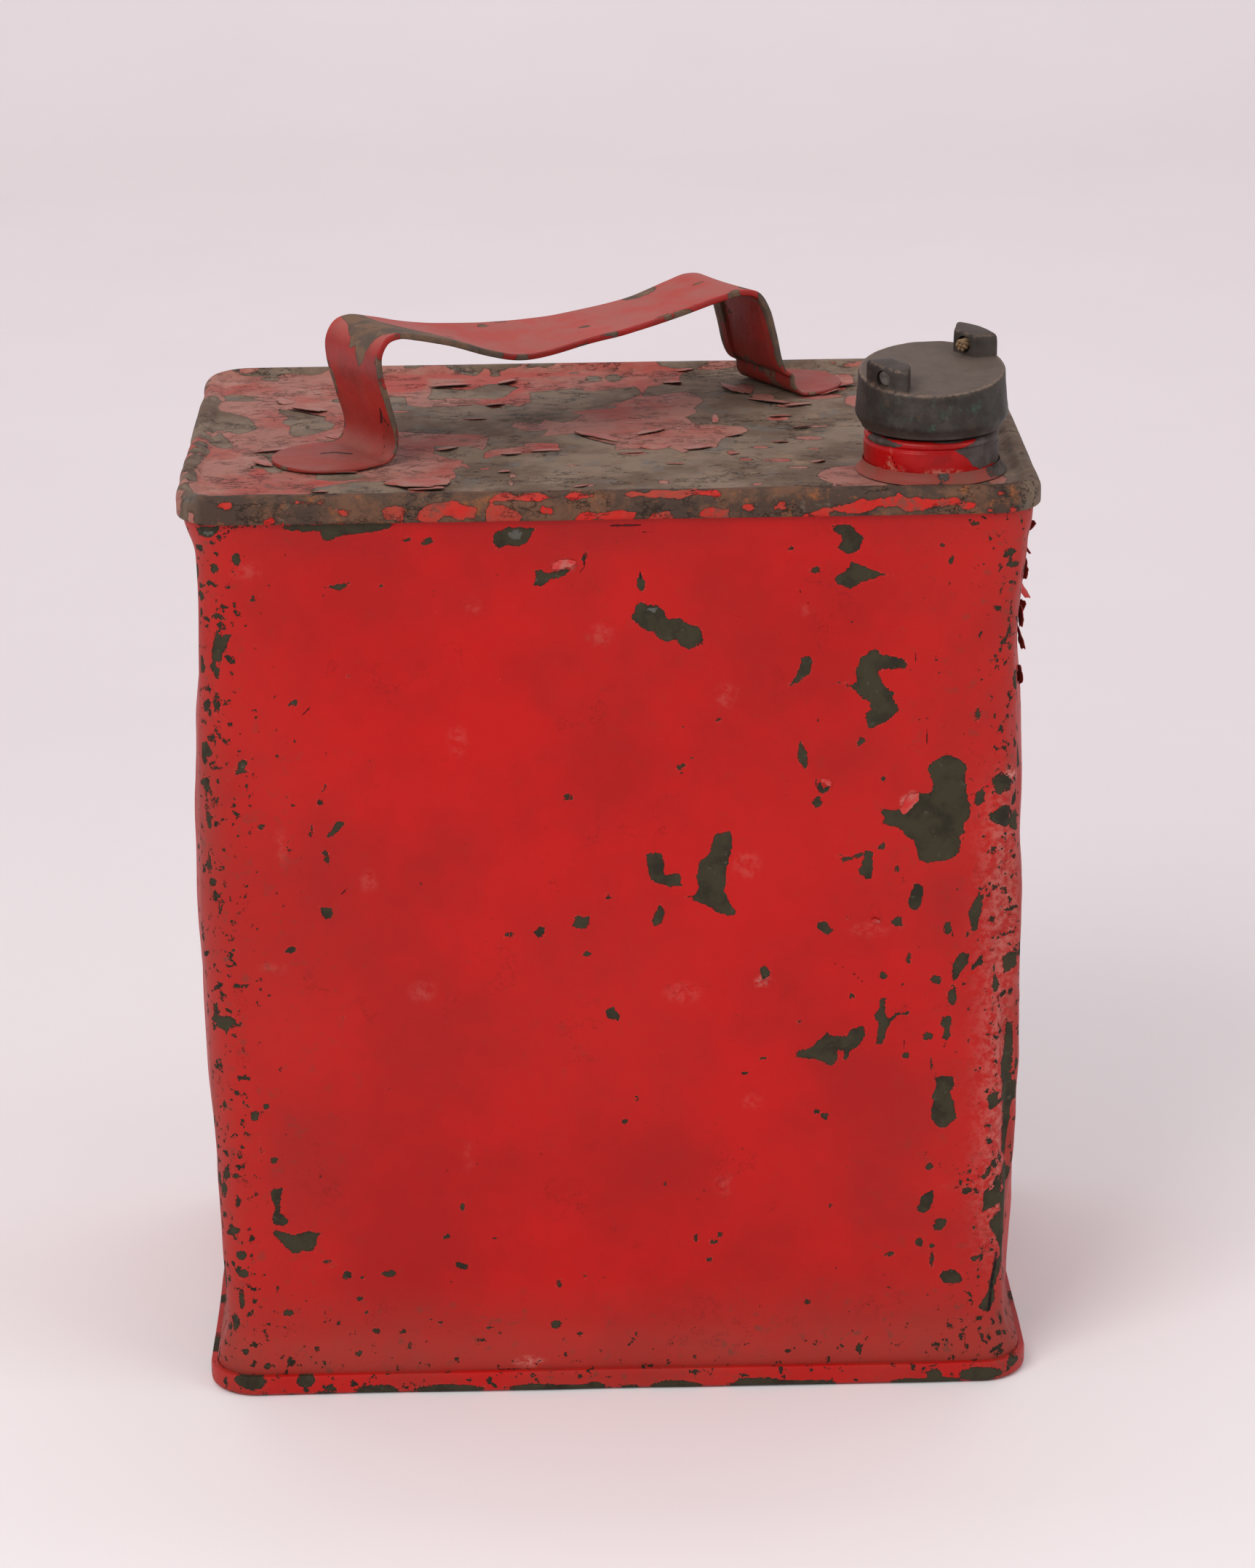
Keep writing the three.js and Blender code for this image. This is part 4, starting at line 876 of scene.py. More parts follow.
def sleeve(name, first, node):
    """One sheet of the sleeve, from a seam before the first panel to one on the panel after it."""
    seam, lap, joggle, narrow = 6.0, 8.0, 2.0, DEPTH - 2 * CORNER_R
    before, second, under = (first + 3) % 4, (first + 1) % 4, first == 2
    cols = []

    def run(panel, a, b, step, length, tuck_a=0.0, tuck_b=0.0):
        n = max(2, int(abs(b - a) * length / step))
        for k in range(n):
            cols.append((panel, a + (b - a) * k / n, 0.0, tuck_a + (tuck_b - tuck_a) * k / n))

    def corner(panel, n):
        cols.extend((panel, 1.0, k / n, 0.0) for k in range(n))

    fine = 1.15 if first == 0 else 2.6
    edge, lap_at = 1 - seam / narrow, 1 - (seam + lap) / narrow
    if under:
        run(before, lap_at, edge + GAP / narrow, 1.5, narrow, 1, 1)
        run(before, edge + GAP / narrow, edge + joggle / narrow, 0.5, narrow, 1, 0)
        run(before, edge + joggle / narrow, 1, 1.5, narrow)
    else:
        run(before, edge, 1, 1.2, narrow)
    corner(before, 16)
    run(first, 0, 1, fine, WIDTH - 2 * CORNER_R)
    corner(first, 22)
    if under:
        run(second, 0, edge - joggle / narrow, 2.6, narrow)
        run(second, edge - joggle / narrow, edge - GAP / narrow, 0.5, narrow, 0, 1)
        run(second, edge - GAP / narrow, edge + lap / 2 / narrow, 1.5, narrow, 1, 1)
        cols.append((second, edge + lap / 2 / narrow, 0.0, 1.0))
    else:
        run(second, 0, edge, 2.2, narrow)
        cols.append((second, edge, 0.0, 0.0))
    while len(cols) % 4 != 1:
        a, b = cols[-2], cols[-1]
        cols.insert(-1, tuple((np.array(a) + np.array(b)) / 2))
    c = np.array(cols)
    rows = 237 if first == 0 else 141
    zs = np.concatenate([[SLEEVE_LOW], np.linspace(3, 277.5, rows - 2), [SLEEVE_HIGH]])
    P, Z = np.meshgrid(np.arange(len(c)), zs)
    panel, t, turn, tuck = c[P, 0].astype(int), c[P, 1], c[P, 2], c[P, 3]
    base = sleeve_inset(panel, t, turn, Z)
    x, y = outline(panel, t, turn, base)[:2]
    u = run_length(panel, t, turn)
    p = np.stack([x, y, Z], -1).reshape(-1, 3)
    push = dents(p, u.ravel(), Z.ravel()).reshape(Z.shape)
    skins = []
    for depth in (0, SHEET):
        x, y = outline(panel, t, turn, base - push + tuck * (SHEET + GAP) + depth)[:2]
        skins.append(np.stack([x, y, Z], -1))
    outer, inner = skins[0], skins[1][::4, ::4]
    R, C = Z.shape
    r4, c4 = inner.shape[:2]
    faces = grid_quads(R, C).tolist()
    faces += grid_quads(r4, c4, R * C)[:, ::-1].tolist()
    for n, fine_at, coarse_at in (
        (C, lambda i: i, lambda i: R * C + i),
        (C, lambda i: (R - 1) * C + i, lambda i: R * C + (r4 - 1) * c4 + i),
        (R, lambda i: i * C, lambda i: R * C + i * c4),
        (R, lambda i: i * C + C - 1, lambda i: R * C + i * c4 + c4 - 1),
    ):
        for i in range(n - 1):
            faces.append([fine_at(i), fine_at(i + 1), coarse_at(i // 4)])
            if i % 4 == 3:
                faces.append([fine_at(i + 1), coarse_at(i // 4 + 1), coarse_at(i // 4)])
    verts = np.vstack([outer.reshape(-1, 3), inner.reshape(-1, 3)])
    fx, fz = seen_from_front(*verts.T)
    uu = np.concatenate([u.ravel(), u[::4, ::4].ravel()])
    zz = verts[:, 2]
    front = np.abs(uu) < FRONT_HALF
    rng = np.random.default_rng(40 + first)
    others = (
        random_ovals(rng, 170, (FRONT_HALF, 4), (290, 272), 7.5, 0.5)
        + random_ovals(rng, 150, (-260, 4), (-FRONT_HALF, 272), 6.0, 0.5)
    )
    others += (
        random_ovals(rng, 60, (-400, 4), (-260, 272), 8.0, 0.3)
        + random_ovals(rng, 60, (280, 4), (400, 272), 8.0, 0.3)
    )
    side = shapes_field(uu, zz, others)
    folds = (
        random_ovals(rng, 24, (107, 14), (121, 200), 5.5, 0.2)
        + random_ovals(rng, 26, (-121, 14), (-108, 262), 3.0, 0.3)
    )
    chip = np.where(front, shapes_field(fx, fz, CHIPS + TORN + folds), side)
    wear = (
        np.exp(-((np.abs(np.abs(uu) - 118) / 9) ** 2)) + 0.6 * (1 - smooth(5, 45, zz))
        + 0.4 * smooth(70, 110, np.abs(uu))
    )
    # Dust grows toward the bottom and the ends; the corner term is a painted sheen on both rounded corners
    corner_sheen = np.exp(-((np.abs(np.abs(uu) - 122) / 8) ** 2))
    dust = (
        0.02 + 0.72 * (1 - smooth(4, 40, zz)) + 0.34 * corner_sheen + 0.18 * smooth(60, 118, np.abs(uu))
        + 0.1 * noise(verts, 60, 71)
    )
    dust += np.where(front, 0, 0.18)
    pale = np.maximum(
        smooth(-1.2, 0.8, shapes_field(fx, fz, PALES[:5])),
        0.14 * smooth(-1.5, 1.5, shapes_field(fx, fz, PALES[5:])),
    )
    # The band down the right corner is a painted highlight on its crumpled facets
    pale = pale + 0.42 * np.exp(-(((uu - 115) / 6.5) ** 2)) * smooth(25, 60, zz) * (1 - smooth(170, 205, zz))
    attributes = {
        "chip": chip, "wear": np.clip(wear, 0, 1), "dust": np.clip(dust, 0, 1),
        "crack": np.where(front, lines_field(fx, fz, CRACKS), -5), "pale": np.where(front, pale, 0),
        "metal": np.where(front, shapes_field(fx, fz, METAL_SPOTS), -5),
    }
    make(name, verts, faces, sleeve_paint, "can", [node], "red_paint", 40, attributes)


sleeve_paint = sleeve_material()
sleeve("sleeve_front", 0, "front_sheet")
sleeve("sleeve_back", 2, "back_sheet")

# ---- Top pan -------------------------------------------------------------------------------------
# On the plate, ovals or outlines in x and y: where the sheet is bare, paint left inside those parts,
# patches of fresher red, and cracks in the paint darkened as painted shadow under lifted edges (half width,
# then points)
DECK_BARE = [
    (-121.5, 33, -114, 28.5, -109, 23, -106, 13, -105, 6, -110, 0, -115, 5, -120, 7, -123, 10, -121, 19),
    (-123, 53, -115, 52, -104, 48, -109, 47, -105, 43, -111, 43, -116, 44, -119, 49),
    (
        -99.5, 32, -95, 31, -90, 26, -85, 21, -85, 17, -81.5, 12, -82, 6, -88, 0, -93, -3.5, -95, 1, -95, 9,
        -98, 15, -96, 21, -99.5, 27,
    ),
    (-84, 43, -81, 45, -79, 40, -83, 39), (-121, -8, -116, 2, -113, -6, -111, -15, -114, -17, -118, -10),
    (
        -104.5, -24, -95, -22, -86, -18, -86.5, -23, -89.5, -25, -88, -30, -94, -35, -95, -46, -99, -46,
        -101, -40, -104.5, -41, -100, -30, -101, -26,
    ),
    (-85, -46, -75, -48, -70, -51, -75, -56, -80, -57, -85, -54),
    (
        -86, -72, -85, -65, -80, -62, -73, -57, -65, -58, -59, -67, -55, -73, -53, -80, -125, -80,
        -125, -77.5, -85, -77,
    ),
    (
        -66, 48, -61, 45, -60, 35, -55, 31, -46, 32, -40, 35, -36, 33, -33, 28, -29, 34, -26, 30, -20, 28,
        -5, 26, 3, 30, 13, 40, 13, 46, 15, 54, 20, 57, 25, 55, 25, 63, 26, 70, 33, 78, 50, 76, 60, 80,
        125, 80, 125, -80, -52, -80, -54, -73, -52, -68, -48, -60, -44, -55, -45, -47, -43, -40, -42, -35,
        -47, -32, -51, -26, -51, -17, -46, -17, -40, -19, -36, -24, -35, -9, -37, -5, -53, -3, -63, 0,
        -66, 20,
    ),
    (
        -53, 57, -45, 53, -40, 54, -35, 61.5, -30, 61, -25.5, 56, -28, 50, -30, 43, -33, 40, -40, 42,
        -48, 42.5, -50, 38, -54, 38, -54, 44, -53, 50,
    ),
    (
        -24, 47, -19, 51, -14, 52, -8, 54, -3, 49, 5, 53, 11, 55, 13, 46, 5, 33, -5, 26, -20, 28, -26, 30,
        -22, 40,
    ),
    (4.5, 66.5, 2.6, 4.6), (-40, 75, 1.4, 2.4), (-33, 73, 1.8, 2.6), (-2, 66, 2.6, 3.6), (-43, 60, 1.2, 2),
    (-104, 72, 3, 3), (-8, 74, 1.5, 1.5),
]
DECK_PAINT = [
    (
        -5, 24, 4, 26, 5, 33, 10, 38, 11, 41, 17, 43, 26, 46, 30, 41, 31.5, 33, 28, 24, 29, 19, 25, 13,
        28, 4, 35, 3, 43, 0, 43.5, -4, 40, -10, 35, -14, 33, -25, 25, -28, 23, -31, 20, -26, 17, -20,
        11, -26, 3, -27, 3, -21, -5, -12, -9, -6, -19, -9, -17, -2, -24, -1, -28, 4, -27, 10, -19, 7,
        -18, 13, -12, 7, -9, 11, -6, 18, -10, 21,
    ),
    (
        -35, -24, -24, -20, -24, -16, -18, -17, -14, -18, -14, -27, -20, -28, -25, -29, -31, -30, -36, -33,
        -36, -28,
    ),
    (
        -50, 41, -45, 42, -40, 42, -33, 39, -30, 36, -33, 33, -40, 35, -46, 32, -55, 31, -58, 33, -60, 38,
        -59, 43, -54, 44, -53, 40,
    ),
    (-30, 43, -26, 52, -22, 47, -22, 36, -26, 31, -30, 38), (-62, 26, 2.5, 1.2), (-41, 14, 3, 1.2),
    (-27.5, -54.5, 1, 2.6), (-28, -62, 0.8, 3), (-45, -37, -43, -36, -40, -43, -41, -44, -43, -40),
    (53, 10, 3.4, 2.2), (61, -15, 4.5, 2.4), (37, -32, 1.3, 2.6), (50, -41, 4, 2.2), (41, -40, 2, 1.5),
    (62, -28, 2, 1.2), (16, -64, 1.6, 1.8), (43, -68, 1.6, 1.4), (67, 71, 6, 2), (77, 60, 3, 8),
    (72, 48, 5, 3), (68, 38, 7, 3.5), (58, 27, 4, 4), (79, 30, 4, 8), (45, 50, 3, 6), (50, 38, 3.6, 5),
    (74, -60, 13, 12), (72, -72, 8, 5), (96, -75, 15, 5), (112, -66, 3, 7), (122, -38, 1.8, 9),
    (118, 20, 3, 6), (110, 60, 5, 4), (60, 60, 1.2, 4), (-6, -67, 2, 0.9), (8, -31, 4, 1.6), (64, 0, 3, 1),
    (30, -6, 3, 3), (46, -26, 3, 1.4), (56, -50, 3, 1.2), (-36, -45, 2, 1), (-10, -44, 2, 1),
    (90, 40, 5, 2.5), (100, 72, 7, 2),
]
DECK_FRESH = [
    (-102, -45, 3, 7), (-83, -59, 4, 3), (-122, -50, 3, 20), (-17, -20, 4, 5), (-34, 57, 12, 14),
    (74, 48, 5, 9), (-52, -71, 5, 7), (61, 34, 4, 4), (53, 10, 3, 2), (-62, 65, 8, 14), (-35, 74, 26, 6),
]
DECK_GAP_SHADOWS = [
    (0.9, -53, 57, -45, 53.5, -40, 54), (0.9, -30, 61, -28, 58, -25.5, 56),
    (1.0, -97, 31.5, -92, 28, -88, 24, -85, 21), (0.8, -99, 36, -97, 40, -95.5, 42.5),
    (1.0, -9, -6, -5, -12, 0, -18, 2.5, -21), (0.9, 7, -13.5, 12, -8, 19, -3),
    (0.7, 10, -25, 15, -20, 20, -18.5), (0.8, 23, -31, 25, -28, 30, -26.5), (1.0, 25.5, 73, 28, 72),
    (0.9, 20, 57, 24, 56, 25, 54), (0.8, 7, 52, 8, 50.5, 10, 53), (0.9, -34, 29, -31, 30),
    (0.9, -41, 11.5, -37, 12.5), (0.7, -104, -24, -96, -22.5, -87, -18),
    (0.9, -104.5, -41, -103, -36, -100.5, -31), (0.7, -46, 33, -40, 33.5), (0.8, -58, -42, -55, -38.5),
    (0.7, -50, -22, -48, -25, -44, -25.5), (0.8, -30, -31, -26, -31), (0.7, -22, -28.5, -14, -27),
    (0.8, -93, -53, -91, -54), (1.1, -65, -57.5, -62, -63, -58, -67.5), (0.8, -49, -59.5, -45, -60),
    (0.7, -44, -51, -40, -56), (1.0, -85, -78.5, -77, -78.5), (0.8, -83, -70, -81, -71),
    (0.6, -45, -69, -47, -75), (1.0, 47, 38, 45, 44, 42, 50, 38, 57),
    (0.8, 50, 33, 53, 25, 57, 22.5, 62, 25), (0.8, 18, -71, 20, -73), (0.9, 58, -4, 61, -2.5),
    (0.7, 37.5, -14, 41, -10.5), (0.7, 50, -21, 54, -21.5), (0.7, 59, -45, 62, -43),
    (0.6, 59, -58, 65, -65),
    (1.0, 66, -70, 68, -75, 72, -77, 80, -77.5, 90, -78.5, 96, -77, 104, -76, 109, -74.5),
    (0.7, 2, -66, 3, -63), (0.7, -81, -5, -77, -7.5), (0.6, -114, 15, -113, 11), (0.7, -112, -8, -110, -14),
    (0.6, 4, -52, 8, -54), (0.6, -12, -48, -9, -50), (0.7, 30, -48, 34, -46), (0.6, 20, -42, 23, -40),
    (0.6, 40, 8, 44, 9), (0.7, 60, 12, 63, 8), (0.6, 66, 5, 74, 4),
]
# Red left on the front of the rim, ovals or outlines in x and height
RIM_RED = [
    (-65, 274, -59, 273, -58, 278, -62, 279, -65, 277),
    (-56, 274, -50, 273, -46, 275, -43, 273.5, -38, 273.5, -37.5, 278, -44, 279.5, -50, 279, -54, 277.5),
    (-36, 273, -26, 273, -25, 275, -29, 278, -34, 279, -36, 276),
    (-22, 275, -16, 274.8, -15.5, 277.5, -20, 278), (-11, 273, 6, 273, 8, 275.5, 0, 276.5, -9, 275.8),
    (10, 273, 18, 273, 17, 275.5, 12, 275), (24, 274, 33, 273, 34, 276, 28, 276.5),
    (37.5, 275.5, 41.5, 275.3, 41.5, 278, 38, 278), (47, 275.8, 50.5, 275.8, 50, 278, 47.5, 278),
    (55, 273, 64, 273, 62, 276, 57, 275.5),
    (
        62, 274.5, 72, 274, 78, 276, 86, 274.8, 96, 275.5, 104, 274.5, 107, 276, 100, 279, 90, 278.2,
        84, 279.8, 76, 279, 70, 277.8, 64, 277,
    ),
    (15, 279.5, 32, 280, 31, 282, 5, 282, 3, 280), (-35, 279.3, -5, 279.3, -3, 281.5, -33, 281.5),
    (-99, 273.5, -96, 277, -93, 273.5), (-124.5, 277, 3, 2.5), (-110, 279.5, 3, 1), (-90, 279.8, 5, 1),
    (112, 279.5, 2, 0.8), (-76, 276.5, 2.5, 1), (110, 274.5, 3, 0.9),
]
# Round the neck and under the handle's feet the plate stays flat: (x, y, radius)
KEPT_FLAT = ((*NECK, 24), (-78, -31, 27), (57, 52, 22))


def pan_places():
    """Places round both pans: (panel, share of its straight, share of the corner after it)."""
    cols = []
    for panel in range(4):
        n = 182 if panel % 2 == 0 else 112
        cols += [(panel, k / n, 0.0) for k in range(n)] + [(panel, 1.0, k / 14) for k in range(14)]
    return np.array(cols)


PLACES = pan_places()


def pan_rings(profile):
    """Rings round the can from (inset, height) pairs, with their outward directions."""
    prof = np.asarray(profile)
    inset = prof[:, 0][:, None] + np.zeros(len(PLACES))[None]
    panels = PLACES[:, 0].astype(int)[None] + np.zeros_like(inset, int)
    x, y, nx, ny = outline(panels, PLACES[:, 1][None], PLACES[:, 2][None], inset)
    return np.stack([x, y, np.repeat(prof[:, 1:], len(PLACES), 1)], -1), nx, ny


def shoulder(radius, steps):
    """(inset, drop) round a quarter turn."""
    a = np.linspace(0, np.pi / 2, steps + 1)
    return [(radius * (1 - math.cos(k)), radius * (1 - math.sin(k))) for k in a]


def top_pan():
    inner = [
        (RIM_LAND + 0.4, PLATE_UNDER), (7.0, 279.5), (5.2, 281.0), (3.4, 281.0), (2.2, 279.9), (1.9, 278.6),
        (1.9, 274),
    ]
    outer = [(0.35, 274), (0.05, 274.35), (0, 275)] + [(i, HEIGHT - f) for i, f in shoulder(TOP_RIM_R, 9)]
    outer = dense(outer, 0.85)
    crest_line = [(3.6, 282), (4.6, 282), (5.4, 281.5), (6.6, 280.5), (7.2, 280.1), (RIM_LAND, PLATE_Z)]
    crest = dense(crest_line, 0.6)[1:]
    prof = np.vstack([inner, outer, crest])
    rings, nx, ny = pan_rings(prof)
    edge = rings[-1]
    shares = 1 - np.linspace(0, 1, 80)[1:-1]
    deck = np.stack([np.stack([edge[:, 0] * s, edge[:, 1] * s, edge[:, 2]], -1) for s in shares])
    rings = np.concatenate([rings, deck])
    nxy = np.concatenate([np.stack([nx, ny], -1), np.zeros((len(deck), len(PLACES), 2))])
    flat = rings.reshape(-1, 3)
    rim = np.concatenate(
        [np.repeat(1 - smooth(6.0, 8.0, prof[:, 0]), len(PLACES)), np.zeros(len(deck) * len(PLACES))]
    )
    # the rim waves in and down a little, most on the left end
    leftish = smooth(95, 125, -flat[:, 0])
    wave = np.clip(0.34 + 0.34 * fbm(flat, 34, 51, 3) + leftish * 0.5 * (fbm(flat, 18, 52, 2) + 0.4), 0, 1.3)
    outerness = smooth(276, 282, flat[:, 2]) * rim
    flat[:, :2] -= nxy.reshape(-1, 2) * (wave * (0.35 + 0.65 * rim) * (rim > 0))[:, None] * 0.7
    ring_inset = np.repeat(np.concatenate([prof[:, 0], np.full(len(deck), 9)]), len(PLACES))
    sag = np.clip(0.25 + 0.3 * fbm(flat, 26, 61, 3) + leftish * 0.5, 0, 1.0)
    flat[:, 2] -= outerness * sag * smooth(2.0, 4.5, ring_inset)
    on_deck = 1 - rim
    bump = 0.30 * fbm(flat, 46, 71, 3) + 0.14 * fbm(flat, 13, 75, 3)
    for cx, cy, r in KEPT_FLAT:
        near = 1 - smooth(r - 3, r + 8, np.hypot(flat[:, 0] - cx, flat[:, 1] - cy))
        bump = bump * (1 - near) - 0.12 * near
    top_side = np.arange(len(flat)) >= (len(inner) + 3) * len(PLACES)
    flat[:, 2] += np.where(top_side, on_deck * np.clip(bump, -0.5, 0.5), 0)
    verts, faces = loft(flat.reshape(rings.shape))
    o = make("top_plate", verts, faces, top_paint, "can", ["top_pan"], "worn_paint", 45)
    cutter = make(
        "cutter", *loft(turned([(COLLAR_R + GAP, 270), (COLLAR_R + GAP, 290)], 96)), top_paint, "can"
    )
    cut = o.modifiers.new("hole", "BOOLEAN")
    cut.operation, cut.object, cut.solver = "DIFFERENCE", cutter, "EXACT"
    apply_modifiers(o)
    bpy.data.objects.remove(cutter)
    p = points_of(o)
    x, y, z = p.T
    inset = np.minimum(WIDTH / 2 - np.abs(x), DEPTH / 2 - np.abs(y))
    bare = np.minimum(shapes_field(x, y, DECK_BARE), -shapes_field(x, y, DECK_PAINT))
    fx, fz = seen_from_front(x, y, z)
    red_front = shapes_field(fx, fz, RIM_RED)
    shabby = np.where((x > 112) | (np.abs(y) > 78) & (x > 40), -0.9, 0.1)
    red_other = 1.8 * noise(p, 13, 81) + 1.3 * noise(p, 5, 82) + shabby
    on_front = smooth(70, 74, -y) * (1 - smooth(114, 121, np.abs(x)))
    rim_bare = (
        0.3 + 1.0 * noise(p, 3.4, 83)
        - (on_front * np.maximum(red_front, -2.5) + (1 - on_front) * red_other)
    )
    rim = 1 - smooth(5.4, 9.4, inset + 1.2 * noise(p, 7, 84))
    bare = bare * (1 - rim) + rim_bare * rim
    put(o, "bare", bare)
    put(o, "rim", (1 - smooth(5.0, 10.5, inset + 1.6 * noise(p, 9, 85))) * (0.3 + 0.7 * on_front))
    put(o, "gap_shadow", lines_field(x, y, DECK_GAP_SHADOWS))
    put(o, "fresh", smooth(-1.5, 1.5, shapes_field(x, y, DECK_FRESH)) * (1 - rim))


def apply_modifiers(o):
    dg = bpy.context.evaluated_depsgraph_get()
    mesh = bpy.data.meshes.new_from_object(o.evaluated_get(dg))
    old = o.data
    o.modifiers.clear()
    o.data = mesh
    bpy.data.meshes.remove(old)
    mesh.polygons.foreach_set("use_smooth", [True] * len(mesh.polygons))
    mesh.set_sharp_from_angle(angle=math.radians(45))


top_paint = plate_material()
top_pan()

# ---- Base pan ------------------------------------------------------------------------------------
# Chips on the front of the base pan's rim, as (x, height, half width, half height)
BASE_CHIPS = [
    (-112, 5, 5, 2.7), (-95.5, 5, 3, 2.4), (-74, 1, 7, 2.2), (-52, 1, 11, 2), (-26, 1, 9, 1.6),
    (-88, 2, 2, 1), (17, 0.5, 8, 2.2), (42, 0.8, 9, 2.4), (60, 0.5, 4, 1.2), (96, 2.6, 2.4, 2.2),
    (110, 2.6, 7, 2.6), (120, 5, 2, 1.8), (86, 0.6, 4, 1.2), (3, 0.5, 3, 1.1), (-8, 2, 2, 0.9),
]


def base_pan():
    outer = dense([(1.9, 6.6), (1.5, 6.6), (0.3, 6.6), (0, 5.8)] + shoulder(BASE_RIM_R, 5), 0.9)
    inside = [(6.8, 3.8), (4.6, 0.9), (2.6, 0.9), (1.9, 1.5)]
    under = dense([(1.6, 0), (5.0, 0), (7.4, 3.0)], 1.6)[1:]
    prof = np.vstack([inside, outer, under])
    rings, nx, ny = pan_rings(prof)
    flat = rings.reshape(-1, 3)
    wave = np.clip(0.3 + 0.35 * fbm(flat, 38, 91, 3), 0, 0.9)
    flat[:, :2] -= np.stack([nx, ny], -1).reshape(-1, 2) * wave[:, None] * 0.6
    lifted = np.clip(0.12 + 0.2 * fbm(flat * [1, 1, 0], 60, 95, 2), 0, 0.4)
    flat[:, 2] += np.where(flat[:, 2] > 5, -lifted, 0)
    verts, faces = loft(flat.reshape(rings.shape))
    x, z = verts[:, 0], verts[:, 2]
    places = np.vstack([np.tile(PLACES, (len(prof), 1)), [[0, 0.5, 0]] * 2])
    u = run_length(places[:, 0].astype(int), places[:, 1], places[:, 2])
    front = np.abs(u) < FRONT_HALF
    chips = shapes_field(x, z, BASE_CHIPS)
    other = 1.5 * noise(verts, 12, 97) + noise(verts, 5, 98) - 0.7
    chip = np.where(front, chips, other)
    chip = np.where(z < 2.2, np.maximum(chip, noise(verts, 9, 99) * 1.6 - 0.4), chip)
    n = len(verts)
    make(
        "base_plate", verts, faces, sleeve_paint, "can", ["base_pan"], "red_paint", 45,
        {
            "chip": chip, "wear": np.full(n, 0.8), "dust": np.clip(0.3 + 0.3 * noise(verts, 20, 101), 0, 1),
            "crack": np.full(n, -5.0), "pale": np.zeros(n), "metal": np.full(n, -5.0),
        },
    )


base_pan()

# ---- Handle --------------------------------------------------------------------------------------
# The two feet's places on the plate, then the strap's line as shares of the span and the rise
LEFT_FOOT, RIGHT_FOOT = np.array([-0.279 * WIDTH, -0.154 * DEPTH]), np.array([0.206 * WIDTH, 0.292 * DEPTH])
RISE, STRAP_W, STRAP, FOOT_R = 39.2, 31.0, 1.0, 17.0
LINE = [
    (-0.02, 0.43), (-0.04, 0.71), (-0.039, 0.86), (-0.018, 0.97), (0.016, 1), (0.064, 0.965), (0.13, 0.9),
    (0.23, 0.8), (0.31, 0.745), (0.38, 0.735), (0.47, 0.75), (0.57, 0.77), (0.71, 0.83), (0.81, 0.905),
    (0.865, 0.935), (0.91, 0.895), (0.938, 0.755), (0.956, 0.55), (0.98, 0.25),
]
# How far the strap leans over, in degrees, at shares of the span
TWIST = [(0, 0), (0.12, 0), (0.31, 7.5), (0.53, 0), (0.71, -3), (0.9, 0), (1, 0)]


def centripetal(points, per):
    """A centripetal Catmull-Rom curve through 2D points."""
    p = np.array(points, float)
    p = np.vstack([2 * p[0] - p[1], p, 2 * p[-1] - p[-2]])
    out = []
    for i in range(1, len(p) - 2):
        a, b, c, d = p[i - 1:i + 3]
        t = np.cumsum([0] + [math.sqrt(np.linalg.norm(q - r)) for q, r in ((b, a), (c, b), (d, c))])
        s = np.linspace(t[1], t[2], per, endpoint=False)[:, None]
        a1 = (t[1] - s) / (t[1] - t[0]) * a + (s - t[0]) / (t[1] - t[0]) * b
        a2 = (t[2] - s) / (t[2] - t[1]) * b + (s - t[1]) / (t[2] - t[1]) * c
        a3 = (t[3] - s) / (t[3] - t[2]) * c + (s - t[2]) / (t[3] - t[2]) * d
        b1 = (t[2] - s) / (t[2] - t[0]) * a1 + (s - t[0]) / (t[2] - t[0]) * a2
        b2 = (t[3] - s) / (t[3] - t[1]) * a2 + (s - t[1]) / (t[3] - t[1]) * a3
        out.append((t[2] - s) / (t[2] - t[1]) * b1 + (s - t[1]) / (t[2] - t[1]) * b2)
    return np.vstack([*out, p[-2:-1]])


